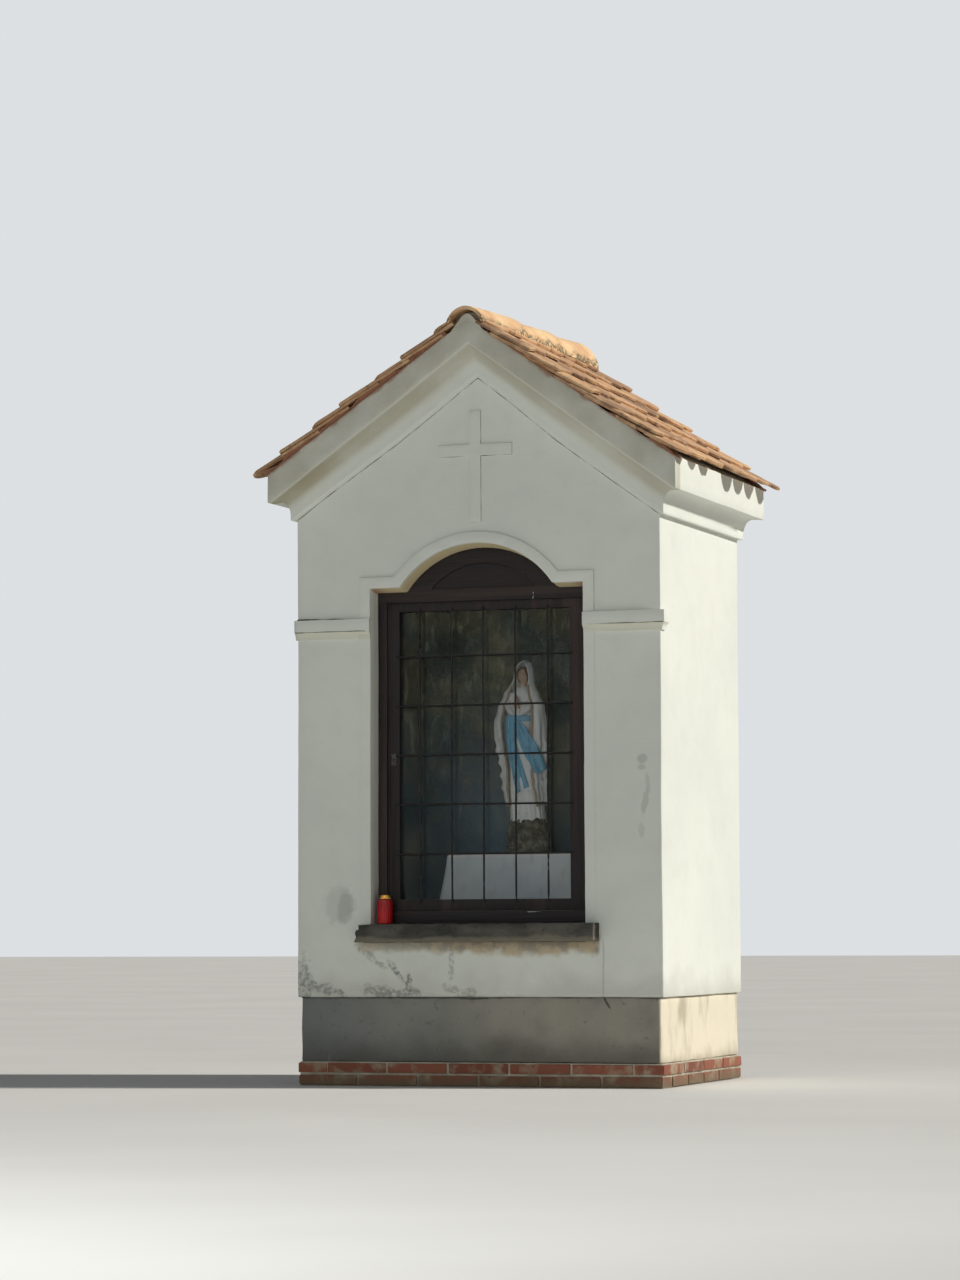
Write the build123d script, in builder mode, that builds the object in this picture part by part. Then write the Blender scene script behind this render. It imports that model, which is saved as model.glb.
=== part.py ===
"""A small plastered wayside shrine with a glazed niche, a moulded cornice and a tiled gable roof.

Millimetres. +Z is up and the front looks along -Y. The origin is the centre of the footprint, on the
lowest ground that the base reaches.
"""

import os
from math import atan, cos, degrees, pi, radians, sin, sqrt, tan

from build123d import *

os.makedirs("parts", exist_ok=True)

# Base and walls
body_width = 1500.0
body_depth = 1100.0
wall_thickness = 180.0
brick_course = 47.0
brick_courses = 2
plinth_height = 252.0
plinth_setback = 12.0

# Opening in the front wall
opening_width = 880.0
sill_top = 630.0
shoulder_height = 1947.0
arch_span = 630.0
arch_rise = 166.0

# Stone sill
sill_thickness = 70.0
sill_projection = 75.0
sill_horn = 55.0
sill_drip_depth = 6.0
sill_drip_width = 10.0
sill_drip_edge = 18.0

# Raised plaster
border_width = 44.0
border_relief = 10.0
cross_bar = 46.0
cross_relief = 8.0
cross_above_arch = 81.0
cross_below_apex = 350.0
cross_head_share = 0.3021
cross_arm_reach = 152.0

# Impost bands on the front piers
impost_below_shoulder = 119.0
impost_fascia = 48.0
impost_moulding = 29.0
impost_projection = 20.0
impost_foot = 7.0
impost_return = 45.0

# Cornice section, measured out from the wall face and up from its lowest line
cornice_depth_at_wall = 270.5
cornice_fillet_out = 20.0
cornice_fillet_height = 18.0
cornice_cove_out = 55.0
cornice_cove_height = 87.0
cornice_projection = 90.0
cornice_blank_height = 300.0
cornice_cove_facets = 6
rake_rise = 0.7238

# Roof
roof_pitch = 34.4
apex_bed = 2981.0
eaves_drip = 60.0
verge_overhang = 120.0
tile_thickness = 15.0
tile_layers = 3
tile_courses = 7
board_thickness = 24.0

# Ridge
ridge_gap = 60.0
ridge_tiles = 3
ridge_lap = 60.0
ridge_small_radius = 80.0
ridge_large_radius = 125.0
ridge_thickness = 15.0
ridge_drop = 31.0

# Niche inside
floor_below_sill = 30.0
vault_above_shoulder = 103.0
vault_rise = 160.0
vault_thickness = 90.0

# Timber frame in the opening
frame_setback = 80.0
frame_depth = 60.0
frame_jamb_face = 37.0
frame_bottom_rail = 50.0
transom_below_shoulder = 54.0
panel_half_chord = 215.0
panel_below_shoulder = 4.0
panel_rise = 98.0
panel_recess = 12.0

# Glazed leaf
leaf_clearance = 0.5
leaf_setback = 8.0
leaf_depth = 40.0
leaf_stile = 50.0
leaf_bottom_rail = 45.0
leaf_top_rail = 36.0
rebate_width = 10.0
glass_depth_in_leaf = 22.0
glass_thickness = 4.0

# Iron grille on the leaf
grille_bar = 9.0
grille_lap = 12.0
grille_columns = 5
grille_rows = 5
grille_edge_pane_width = 88.0
grille_edge_pane_height = 177.0

# Lock plate on the left stile
lock_above_sill = 646.0
lock_width = 20.0
lock_length = 46.0
lock_thickness = 2.0
keyhole_radius = 3.0
keyhole_slot = 9.0

# Altar with its cloth
altar_width = 590.0
altar_depth = 440.0
altar_height = 310.0
cloth_thickness = 5.0
cloth_drop = 300.0
cloth_fit = 0.3

# Madonna figure
statue_from_altar_front = 110.0
figure_facets = 16
base_height = 118.0
base_half_width = 104.0
base_half_depth = 80.0
base_top_share = 0.82
figure_height = 637.0
robe_top = 530.0
crown_height = 611.0
face_height = 568.0
face_opening_half_width = 24.0
face_opening_half_height = 36.0
face_opening_corner = 20.0
mantle_opening_half_width = 36.0
hands_centre = 441.0
hands_half_width = 14.0
hands_height = 62.0
hands_depth = 40.0
hands_tip_share = 0.5
waist_height = 395.0
waist_half_width = 54.0
waist_half_depth = 42.0
skirt_below_waist = 120.0
skirt_half_depth = 50.0
sash_band = 18.0
sash_thickness = 5.0
sash_slack = 2.0
sash_tail_width = 26.0
sash_tail_length = 250.0
sash_tail_gap = 7.0
sash_tail_flare = 5.5
veil_fit = 0.3
veil_gap = 9.0

# Votive candle on the sill
candle_from_jamb = 47.0
candle_behind_face = 30.0
candle_radius = 32.0
candle_foot_radius = 29.0
candle_jar_height = 99.0
candle_shoulder = 8.0
candle_lid_height = 14.0
candle_lid_radius = 23.0
candle_lid_bevel = 3.0
candle_facets = 32

# Worked out from the sizes above
front_y = -body_depth / 2
half_width = body_width / 2
half_opening = opening_width / 2
half_arch = arch_span / 2
footing_top = brick_course * brick_courses
plinth_top = footing_top + plinth_height
arch_top = shoulder_height + arch_rise
cross_bottom = arch_top + cross_above_arch
cross_top = apex_bed - cross_below_apex
cross_arm_top = cross_top - cross_head_share * (cross_top - cross_bottom)
impost_top = shoulder_height - impost_below_shoulder
transom_bottom = shoulder_height - transom_below_shoulder
panel_base = shoulder_height - panel_below_shoulder
vault_spring = shoulder_height + vault_above_shoulder
floor_top = sill_top - floor_below_sill
eaves_reach = half_width + cornice_projection + eaves_drip
sill_bottom = sill_top - sill_thickness
inner_half_width = half_width - wall_thickness
inner_half_depth = body_depth / 2 - wall_thickness
roof_fall = tan(radians(roof_pitch))
roof_half_length = body_depth / 2 + verge_overhang
slope_length = eaves_reach / cos(radians(roof_pitch))
tile_gauge = slope_length / tile_courses
tail_height = tile_thickness * tile_layers
frame_y = front_y + frame_setback
leaf_y = frame_y + leaf_setback
leaf_half_width = half_opening - frame_jamb_face - leaf_clearance
leaf_bottom = sill_top + frame_bottom_rail + leaf_clearance
leaf_top = transom_bottom - leaf_clearance
sight_half_width = leaf_half_width - leaf_stile
sight_bottom = leaf_bottom + leaf_bottom_rail
sight_top = leaf_top - leaf_top_rail
grille_column_pitch = 2 * (sight_half_width - grille_edge_pane_width) / (grille_columns - 1)
grille_row_pitch = (sight_top - sight_bottom - 2 * grille_edge_pane_height) / (grille_rows - 1)
lock_height = sill_top + lock_above_sill
candle_x = -half_opening + candle_from_jamb
altar_top = floor_top + altar_height
altar_front = inner_half_depth - altar_depth
statue_y = altar_front + statue_from_altar_front
cloth_top = altar_top + cloth_fit + cloth_thickness
figure_foot = cloth_top + base_height

front_plane = Plane.XZ.offset(-front_y)
right_slope = Plane(
    origin=(0, 0, apex_bed),
    x_dir=(cos(radians(roof_pitch)), 0, -sin(radians(roof_pitch))),
    z_dir=(sin(radians(roof_pitch)), 0, cos(radians(roof_pitch))),
)


def roof_height(x):
    """Height of the bed under the tiles, at a distance x from the middle."""
    return apex_bed - abs(x) * roof_fall


def keep(piece, name):
    """Label a finished piece and write it to its own file."""
    piece.part.label = name
    export_step(piece.part, f"parts/{name}.step")


def mirrored(piece, plane):
    """A second piece, the mirror image of the first."""
    with BuildPart() as image:
        mirror(piece.part, about=plane)
    return image


def slab(x_range, y_range, z_range):
    """A plain block of masonry between pairs of limits."""
    with BuildPart() as block:
        with BuildSketch(Plane.XY.offset(z_range[0])):
            with Locations((sum(x_range) / 2, sum(y_range) / 2)):
                Rectangle(x_range[1] - x_range[0], y_range[1] - y_range[0])
        extrude(amount=z_range[1] - z_range[0])
    return block


def opening_outline(bottom):
    """The outline of the opening from a given height up: jambs, shoulders and arch."""
    Polyline(
        (-half_arch, shoulder_height),
        (-half_opening, shoulder_height),
        (-half_opening, bottom),
        (half_opening, bottom),
        (half_opening, shoulder_height),
        (half_arch, shoulder_height),
    )
    ThreePointArc(
        (half_arch, shoulder_height),
        (0, arch_top),
        (-half_arch, shoulder_height),
    )


# Footing of brick courses and the rendered plinth on it
brick_footing = slab(
    (-half_width, half_width), (front_y, -front_y), (0, footing_top)
)
keep(brick_footing, "brick_footing")

plinth = slab(
    (-half_width + plinth_setback, half_width - plinth_setback),
    (front_y + plinth_setback, -front_y - plinth_setback),
    (footing_top, plinth_top),
)
keep(plinth, "plinth")

# Front wall: two piers, the apron under the sill and the gable over the opening
front_pier_right = slab(
    (half_opening, half_width),
    (front_y, front_y + wall_thickness),
    (plinth_top, shoulder_height),
)
keep(front_pier_right, "front_pier_right")
keep(mirrored(front_pier_right, Plane.YZ), "front_pier_left")

front_apron = slab(
    (-half_opening, half_opening),
    (front_y, front_y + wall_thickness),
    (plinth_top, sill_bottom),
)
keep(front_apron, "front_apron")

with BuildPart() as front_gable:
    with BuildSketch(front_plane):
        with BuildLine():
            Polyline(
                (-half_arch, shoulder_height),
                (-half_width, shoulder_height),
                (-half_width, roof_height(half_width)),
                (0, apex_bed),
                (half_width, roof_height(half_width)),
                (half_width, shoulder_height),
                (half_arch, shoulder_height),
            )
            ThreePointArc(
                (half_arch, shoulder_height),
                (0, arch_top),
                (-half_arch, shoulder_height),
            )
        make_face()
    extrude(amount=-wall_thickness)
keep(front_gable, "front_gable")

# Back wall with its gable, and the side walls under the slopes
with BuildPart() as back_wall:
    with BuildSketch(Plane.XZ.offset(front_y)):
        with BuildLine():
            Polyline(
                (-half_width, plinth_top),
                (-half_width, roof_height(half_width)),
                (0, apex_bed),
                (half_width, roof_height(half_width)),
                (half_width, plinth_top),
                close=True,
            )
        make_face()
    extrude(amount=wall_thickness)
keep(back_wall, "back_wall")

with BuildPart() as side_wall_right:
    with BuildSketch(Plane.XZ):
        with BuildLine():
            Polyline(
                (inner_half_width, plinth_top),
                (half_width, plinth_top),
                (half_width, roof_height(half_width)),
                (inner_half_width, roof_height(inner_half_width)),
                close=True,
            )
        make_face()
    extrude(amount=inner_half_depth, both=True)
keep(side_wall_right, "side_wall_right")
keep(mirrored(side_wall_right, Plane.YZ), "side_wall_left")

# Niche floor and the shallow vault over the niche
niche_floor = slab(
    (-inner_half_width, inner_half_width),
    (-inner_half_depth, inner_half_depth),
    (plinth_top, floor_top),
)
keep(niche_floor, "niche_floor")

with BuildPart() as niche_vault:
    with BuildSketch(Plane.XZ):
        with BuildLine():
            ThreePointArc(
                (-inner_half_width, vault_spring),
                (0, vault_spring + vault_rise),
                (inner_half_width, vault_spring),
            )
            Line(
                (inner_half_width, vault_spring),
                (inner_half_width, vault_spring + vault_thickness),
            )
            ThreePointArc(
                (inner_half_width, vault_spring + vault_thickness),
                (0, vault_spring + vault_rise + vault_thickness),
                (-inner_half_width, vault_spring + vault_thickness),
            )
            Line(
                (-inner_half_width, vault_spring + vault_thickness),
                (-inner_half_width, vault_spring),
            )
        make_face()
    extrude(amount=inner_half_depth, both=True)
keep(niche_vault, "niche_vault")

# Stone sill: a tail between the piers, horns in front of them and a drip groove under its edge
sill_front = front_y - sill_projection
sill_half_length = half_opening + sill_horn
with BuildPart() as window_sill:
    with BuildSketch(Plane.XY.offset(sill_bottom)):
        with Locations((0, (sill_front + front_y) / 2)):
            Rectangle(2 * sill_half_length, sill_projection)
        with Locations((0, front_y + wall_thickness / 2)):
            Rectangle(opening_width, wall_thickness)
    extrude(amount=sill_thickness)
    with BuildSketch(Plane.XY.offset(sill_bottom)):
        with Locations((0, sill_front + sill_drip_edge)):
            Rectangle(2 * sill_half_length, sill_drip_width)
    extrude(amount=sill_drip_depth, mode=Mode.SUBTRACT)
keep(window_sill, "window_sill")

# Raised plaster border round the opening, landing on the sill
with BuildPart() as opening_border:
    with BuildSketch(front_plane):
        with BuildLine():
            opening_outline(sill_top - border_width)
        make_face()
        offset(amount=border_width, kind=Kind.INTERSECTION)
        with BuildLine():
            opening_outline(sill_top - 2 * border_width)
        make_face(mode=Mode.SUBTRACT)
        with Locations((0, sill_top - 2 * border_width)):
            Rectangle(body_width, 4 * border_width, mode=Mode.SUBTRACT)
    extrude(amount=border_relief)
keep(opening_border, "opening_border")

# Impost band on each front pier, mitred round the corner of the wall
with BuildPart() as impost_right:
    with BuildLine() as impost_path:
        Polyline(
            (half_opening, front_y, impost_top),
            (half_width, front_y, impost_top),
            (half_width, front_y + impost_return, impost_top),
        )
    # This plane's second axis points down, so the section reads from the top edge downwards
    with BuildSketch(Plane(origin=impost_path.line @ 0, x_dir=(0, -1, 0), z_dir=(1, 0, 0))):
        with BuildLine():
            Polyline(
                (impost_foot, impost_fascia + impost_moulding),
                (0, impost_fascia + impost_moulding),
                (0, 0),
                (impost_projection, 0),
                (impost_projection, impost_fascia),
            )
            TangentArc(
                (impost_foot, impost_fascia + impost_moulding),
                (impost_projection, impost_fascia),
                tangent=(0, -1),
            )
        make_face()
    sweep(path=impost_path.line, transition=Transition.RIGHT)
    add(opening_border.part, mode=Mode.SUBTRACT)
keep(impost_right, "impost_right")
keep(mirrored(impost_right, Plane.YZ), "impost_left")

# Raised cross on the gable
with BuildPart() as gable_cross:
    with BuildSketch(front_plane):
        with Locations((0, (cross_bottom + cross_top) / 2)):
            Rectangle(cross_bar, cross_top - cross_bottom)
        with Locations((0, cross_arm_top - cross_bar / 2)):
            Rectangle(2 * cross_arm_reach, cross_bar)
    extrude(amount=cross_relief)
keep(gable_cross, "gable_cross")

# Cornice. Its section is drawn once on the mitre plane that stands at 45 degrees through the wall
# corner, and is pushed back along the eaves and up along the rake, so that the two runs meet on
# that plane member by member. The slope of the roof then trims both.
cornice_bottom = roof_height(half_width) - cornice_depth_at_wall
mitre_plane = Plane(
    origin=(half_width, front_y, cornice_bottom), x_dir=(1, -1, 0), z_dir=(-1, -1, 0)
)
mitre_stretch = sqrt(2)
rake_angle = atan(rake_rise)


def cornice_section():
    """Fillet, cove, soffit and fascia, stretched to the width that they have on the mitre."""
    cove_width = cornice_cove_out - cornice_fillet_out
    cove_height = cornice_cove_height - cornice_fillet_height
    cove = []
    for facet in range(cornice_cove_facets + 1):
        turn = pi / 2 * facet / cornice_cove_facets
        out = cornice_fillet_out + cove_width * (1 - cos(turn))
        cove.append((out * mitre_stretch, cornice_fillet_height + cove_height * sin(turn)))
    fascia_out = cornice_projection * mitre_stretch
    Polyline(
        (0, 0),
        (cornice_fillet_out * mitre_stretch, 0),
        *cove,
        (fascia_out, cornice_cove_height),
        (fascia_out, cornice_blank_height),
        (0, cornice_blank_height),
        close=True,
    )


with BuildPart() as eaves_cornice_right:
    with BuildSketch(mitre_plane):
        with BuildLine():
            cornice_section()
        make_face()
    extrude(amount=body_depth, dir=(0, 1, 0))
    split(bisect_by=Plane.XZ, keep=Keep.TOP)
    split(bisect_by=right_slope, keep=Keep.BOTTOM)
    mirror(about=Plane.XZ)
keep(eaves_cornice_right, "eaves_cornice_right")
keep(mirrored(eaves_cornice_right, Plane.YZ), "eaves_cornice_left")

with BuildPart() as rake_cornice_front_right:
    with BuildSketch(mitre_plane):
        with BuildLine():
            cornice_section()
        make_face()
    extrude(amount=body_width / cos(rake_angle), dir=(-1, 0, rake_rise))
    split(bisect_by=Plane.YZ, keep=Keep.TOP)
    split(bisect_by=right_slope, keep=Keep.BOTTOM)
keep(rake_cornice_front_right, "rake_cornice_front_right")
rake_cornice_back_right = mirrored(rake_cornice_front_right, Plane.XZ)
keep(rake_cornice_back_right, "rake_cornice_back_right")
keep(mirrored(rake_cornice_front_right, Plane.YZ), "rake_cornice_front_left")
keep(mirrored(rake_cornice_back_right, Plane.YZ), "rake_cornice_back_left")

# Roof boards between the gables, flush with the tops of the walls
with BuildPart() as roof_boards_right:
    with BuildSketch(Plane.XZ):
        with BuildLine():
            board_drop = board_thickness / cos(radians(roof_pitch))
            Polyline(
                (0, apex_bed),
                (inner_half_width, roof_height(inner_half_width)),
                (inner_half_width, roof_height(inner_half_width) - board_drop),
                (0, apex_bed - board_drop),
                close=True,
            )
        make_face()
    extrude(amount=inner_half_depth, both=True)
keep(roof_boards_right, "roof_boards_right")
keep(mirrored(roof_boards_right, Plane.YZ), "roof_boards_left")

# Tile courses: each course lies over the heads of the one below, so the slope is a flight of steps
slope_section = Plane(
    origin=(0, 0, apex_bed),
    x_dir=(cos(radians(roof_pitch)), 0, -sin(radians(roof_pitch))),
    z_dir=(0, -1, 0),
)
with BuildPart() as roof_tiles_right:
    with BuildSketch(slope_section):
        steps = [(slope_length, 0)]
        for course in range(tile_courses):
            tail = slope_length - course * tile_gauge
            steps.append((tail, tail_height))
            steps.append((tail - tile_gauge, tail_height - tile_thickness))
        with BuildLine():
            Polyline((0, 0), *steps, close=True)
        make_face()
    extrude(amount=roof_half_length, both=True)
    split(bisect_by=Plane.YZ.offset(ridge_gap), keep=Keep.TOP)
keep(roof_tiles_right, "roof_tiles_right")
roof_tiles_left = mirrored(roof_tiles_right, Plane.YZ)
keep(roof_tiles_left, "roof_tiles_left")

# Mortar bed along the ridge, between the top courses and under the ridge tiles
ridge_axis = apex_bed - ridge_drop
ridge_bore = ridge_small_radius - ridge_thickness
with BuildPart() as ridge_mortar:
    with BuildSketch(Plane.XZ):
        with Locations((0, ridge_axis)):
            Circle(ridge_bore)
        with BuildLine():
            Polyline(
                (-ridge_gap, roof_height(ridge_gap)),
                (0, apex_bed),
                (ridge_gap, roof_height(ridge_gap)),
                (ridge_gap, ridge_axis + ridge_large_radius),
                (-ridge_gap, ridge_axis + ridge_large_radius),
                close=True,
            )
        make_face(mode=Mode.INTERSECT)
    extrude(amount=roof_half_length, both=True)
keep(ridge_mortar, "ridge_mortar")

# Tapered ridge tiles, each wide end lapping over the narrow end of the next, trimmed to the slopes
ridge_tile_length = (2 * roof_half_length + (ridge_tiles - 1) * ridge_lap) / ridge_tiles
with BuildPart() as ridge_tiles_row:
    for tile in range(ridge_tiles):
        start = -roof_half_length + tile * (ridge_tile_length - ridge_lap)
        for shrink, mode in ((0, Mode.ADD), (ridge_thickness, Mode.SUBTRACT)):
            with BuildSketch(Plane.XZ.offset(-start)):
                with Locations((0, ridge_axis)):
                    Circle(ridge_small_radius - shrink)
            with BuildSketch(Plane.XZ.offset(-start - ridge_tile_length)):
                with Locations((0, ridge_axis)):
                    Circle(ridge_large_radius - shrink)
            loft(mode=mode)
    with BuildSketch(Plane.XZ):
        with BuildLine():
            Polyline(
                (-ridge_large_radius, roof_height(ridge_large_radius)),
                (0, apex_bed),
                (ridge_large_radius, roof_height(ridge_large_radius)),
                (ridge_large_radius, ridge_axis - ridge_large_radius),
                (-ridge_large_radius, ridge_axis - ridge_large_radius),
                close=True,
            )
        make_face()
    extrude(amount=roof_half_length, both=True, mode=Mode.SUBTRACT)
    add(roof_tiles_right.part, mode=Mode.SUBTRACT)
    add(roof_tiles_left.part, mode=Mode.SUBTRACT)
    add(ridge_mortar.part, mode=Mode.SUBTRACT)
keep(ridge_tiles_row, "ridge_tiles")

# Outer timber frame: jambs, bottom rail and the arched head board with its sunk segmental panel
frame_jamb_right = slab(
    (half_opening - frame_jamb_face, half_opening),
    (frame_y, frame_y + frame_depth),
    (sill_top + frame_bottom_rail, transom_bottom),
)
keep(frame_jamb_right, "frame_jamb_right")
keep(mirrored(frame_jamb_right, Plane.YZ), "frame_jamb_left")

frame_rail = slab(
    (-half_opening, half_opening),
    (frame_y, frame_y + frame_depth),
    (sill_top, sill_top + frame_bottom_rail),
)
keep(frame_rail, "frame_bottom_rail")

with BuildPart() as frame_head:
    with BuildSketch(Plane.XZ.offset(-frame_y)):
        with BuildLine():
            opening_outline(transom_bottom)
        make_face()
    extrude(amount=-frame_depth)
    with BuildSketch(Plane.XZ.offset(-frame_y)):
        with BuildLine():
            Line((-panel_half_chord, panel_base), (panel_half_chord, panel_base))
            ThreePointArc(
                (panel_half_chord, panel_base),
                (0, panel_base + panel_rise),
                (-panel_half_chord, panel_base),
            )
        make_face()
    extrude(amount=-panel_recess, mode=Mode.SUBTRACT)
keep(frame_head, "frame_head")

# Glazed leaf: stiles and rails rebated from behind for the pane
sight_height = sight_top - sight_bottom
sight_middle = (sight_top + sight_bottom) / 2
leaf_middle = (leaf_top + leaf_bottom) / 2
with BuildPart() as leaf_frame:
    with BuildSketch(Plane.XZ.offset(-leaf_y)):
        with Locations((0, leaf_middle)):
            Rectangle(2 * leaf_half_width, leaf_top - leaf_bottom)
        with Locations((0, sight_middle)):
            Rectangle(2 * sight_half_width, sight_height, mode=Mode.SUBTRACT)
    extrude(amount=-leaf_depth)
    with BuildSketch(Plane.XZ.offset(-leaf_y - glass_depth_in_leaf)):
        with Locations((0, sight_middle)):
            Rectangle(
                2 * (sight_half_width + rebate_width), sight_height + 2 * rebate_width
            )
    extrude(amount=-leaf_depth, mode=Mode.SUBTRACT)
keep(leaf_frame, "leaf_frame")

with BuildPart() as leaf_glass:
    with BuildSketch(Plane.XZ.offset(-leaf_y - glass_depth_in_leaf)):
        with Locations((0, sight_middle)):
            Rectangle(
                2 * (sight_half_width + rebate_width), sight_height + 2 * rebate_width
            )
    extrude(amount=-glass_thickness)
keep(leaf_glass, "leaf_glass")

# Iron grille: bars crossing in one plane, their ends lapped on to the stiles and rails
with BuildPart() as grille:
    with BuildSketch(Plane.XZ.offset(-leaf_y)):
        with Locations((0, sight_middle)):
            with GridLocations(grille_column_pitch, 1, grille_columns, 1):
                Rectangle(grille_bar, sight_height + 2 * grille_lap)
            with GridLocations(1, grille_row_pitch, 1, grille_rows):
                Rectangle(2 * (sight_half_width + grille_lap), grille_bar)
    extrude(amount=grille_bar)
keep(grille, "grille")

# Lock plate with its keyhole, on the left stile
with BuildPart() as lock_plate:
    with BuildSketch(Plane.XZ.offset(-leaf_y)):
        with Locations((-leaf_half_width + leaf_stile / 2, lock_height)):
            Rectangle(lock_width, lock_length)
            Circle(keyhole_radius, mode=Mode.SUBTRACT)
            with Locations((0, -keyhole_slot / 2)):
                Rectangle(keyhole_radius, keyhole_slot, mode=Mode.SUBTRACT)
    extrude(amount=lock_thickness)
keep(lock_plate, "lock_plate")

# Altar against the back wall and the cloth over its top, front and ends
altar_block = slab(
    (-altar_width / 2, altar_width / 2),
    (altar_front, inner_half_depth),
    (floor_top, altar_top),
)
keep(altar_block, "altar_block")

cloth_half_width = altar_width / 2 + cloth_fit + cloth_thickness
cloth_front = altar_front - cloth_fit - cloth_thickness
with BuildPart() as altar_cloth:
    with BuildSketch(Plane.XY.offset(cloth_top - cloth_drop)):
        with Locations((0, (cloth_front + inner_half_depth) / 2)):
            Rectangle(2 * cloth_half_width, inner_half_depth - cloth_front)
    extrude(amount=cloth_drop)
    with BuildSketch(Plane.XY.offset(cloth_top - cloth_drop)):
        with Locations((0, (cloth_front + cloth_thickness + inner_half_depth) / 2)):
            Rectangle(
                2 * (cloth_half_width - cloth_thickness),
                inner_half_depth - cloth_front - cloth_thickness,
            )
    extrude(amount=cloth_drop - cloth_thickness, mode=Mode.SUBTRACT)
keep(altar_cloth, "altar_cloth")

# Madonna on a rocky base: heights above her feet, then half width and half depth
skirt_height = waist_height - skirt_below_waist
robe_sections = (
    (0.0, 78.0, 60.0),
    (60.0, 74.0, 56.0),
    (skirt_height, 66.0, skirt_half_depth),
    (waist_height, waist_half_width, waist_half_depth),
    (455.0, 66.0, 42.0),
    (500.0, 58.0, 34.0),
    (robe_top, 15.0, 15.0),
)
head_sections = (
    (robe_top, 15.0, 15.0),
    (540.0, 19.0, 21.0),
    (560.0, 26.0, 28.0),
    (585.0, 27.0, 30.0),
    (602.0, 19.0, 22.0),
    (crown_height, 8.0, 10.0),
)
veil_sections = (
    (70.0, 88.0, 66.0),
    (190.0, 98.0, 65.0),
    (320.0, 110.0, 63.0),
    (410.0, 112.0, 60.0),
    (480.0, 92.0, 53.0),
    (555.0, 50.0, 46.0),
    (602.0, 41.0, 42.0),
    (figure_height, 12.0, 16.0),
)
veil_cavity = tuple(
    (height, across + veil_fit + gap, deep + veil_fit + gap)
    for (height, across, deep), gap in zip(
        robe_sections, (veil_gap, veil_gap, veil_gap, veil_gap, 0, 0, 0)
    )
)


def ring(across, deep):
    """Corners of a faceted oval round the figure's axis, with a flat facet to the front."""
    turns = [2 * pi * (facet + 1 / 2) / figure_facets for facet in range(figure_facets)]
    return [(across * sin(turn), statue_y - deep * cos(turn)) for turn in turns]


def faceted(sections, foot):
    """A form with flat facets between ovals over one another, from the lowest to the highest."""
    rings = [
        [(x, y, foot + height) for x, y in ring(across, deep)] for height, across, deep in sections
    ]
    outlines = [rings[0], rings[-1]]
    for low, high in zip(rings, rings[1:]):
        for side in range(figure_facets):
            outlines.append((low[side - 1], low[side], high[side]))
            outlines.append((low[side - 1], high[side], high[side - 1]))
    with BuildPart() as body:
        add(Solid(Shell([Face(Wire.make_polygon(outline)) for outline in outlines])))
    return body


base_sections = (
    (0, base_half_width, base_half_depth),
    (base_height, base_half_width * base_top_share, base_half_depth * base_top_share),
)
statue_base = faceted(base_sections, cloth_top)
keep(statue_base, "statue_base")

statue_robe = faceted(robe_sections, figure_foot)
keep(statue_robe, "statue_robe")

statue_head = faceted(head_sections, figure_foot)
keep(statue_head, "statue_head")

# Hands laid together before the breast
hands_foot = figure_foot + hands_centre - hands_height / 2
with BuildPart() as statue_hands:
    for height, share in ((0, 1), (hands_height, hands_tip_share)):
        with BuildSketch(Plane.XY.offset(hands_foot + height)):
            with Locations((0, statue_y - hands_depth)):
                Rectangle(2 * hands_half_width * share, hands_depth * share)
    loft(ruled=True)
    add(statue_robe.part, mode=Mode.SUBTRACT)
keep(statue_hands, "statue_hands")

# Mantle and veil: a shell round the robe, resting on the shoulders and the head, open at the front
with BuildPart() as statue_veil:
    add(faceted(veil_sections, figure_foot).part)
    add(faceted(veil_cavity, figure_foot).part, mode=Mode.SUBTRACT)
    with BuildSketch(Plane.XZ.offset(-statue_y)):
        with Locations((0, figure_foot)):
            Rectangle(
                2 * mantle_opening_half_width,
                robe_top,
                align=(Align.CENTER, Align.MIN),
            )
        with Locations((0, figure_foot + face_height)):
            RectangleRounded(
                2 * face_opening_half_width,
                2 * face_opening_half_height,
                face_opening_corner,
            )
    extrude(amount=base_half_depth, mode=Mode.SUBTRACT)
    add(statue_head.part, mode=Mode.SUBTRACT)
keep(statue_veil, "statue_veil")

# Sash: a band round the waist and two tails hanging from it down the front of the robe
sash_middle = figure_foot + waist_height
with BuildPart() as statue_sash:
    for layer, mode in ((sash_thickness, Mode.ADD), (0, Mode.SUBTRACT)):
        across = waist_half_width + sash_slack + layer
        deep = waist_half_depth + sash_slack + layer
        with BuildSketch(Plane.XY.offset(sash_middle - sash_band / 2)):
            with BuildLine():
                Polyline(*ring(across, deep), close=True)
            make_face()
        extrude(amount=sash_band, mode=mode)
    with BuildSketch(Plane.YZ.offset(sash_tail_gap)):
        hem_y = statue_y - skirt_half_depth - sash_slack - sash_tail_flare
        waist_y = statue_y - waist_half_depth - sash_slack
        tail_foot = sash_middle - sash_tail_length
        with BuildLine():
            Polyline(
                (waist_y, sash_middle),
                (hem_y, tail_foot),
                (hem_y - sash_thickness, tail_foot),
                (waist_y - sash_thickness, sash_middle),
                close=True,
            )
        make_face()
    extrude(amount=sash_tail_width)
    mirror(about=Plane.YZ)
keep(statue_sash, "statue_sash")

# Votive candle: a tapered jar with a shoulder under its lid
candle_y = front_y + candle_behind_face
with BuildPart() as candle_jar:
    with BuildSketch(Plane.XY.offset(sill_top)):
        with Locations((candle_x, candle_y)):
            RegularPolygon(candle_foot_radius, candle_facets)
    jar_flare = atan((candle_radius - candle_foot_radius) / candle_jar_height)
    extrude(amount=candle_jar_height, taper=-degrees(jar_flare))
    chamfer(candle_jar.faces().sort_by(Axis.Z)[-1].edges(), length=candle_shoulder)
keep(candle_jar, "candle_jar")

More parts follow.
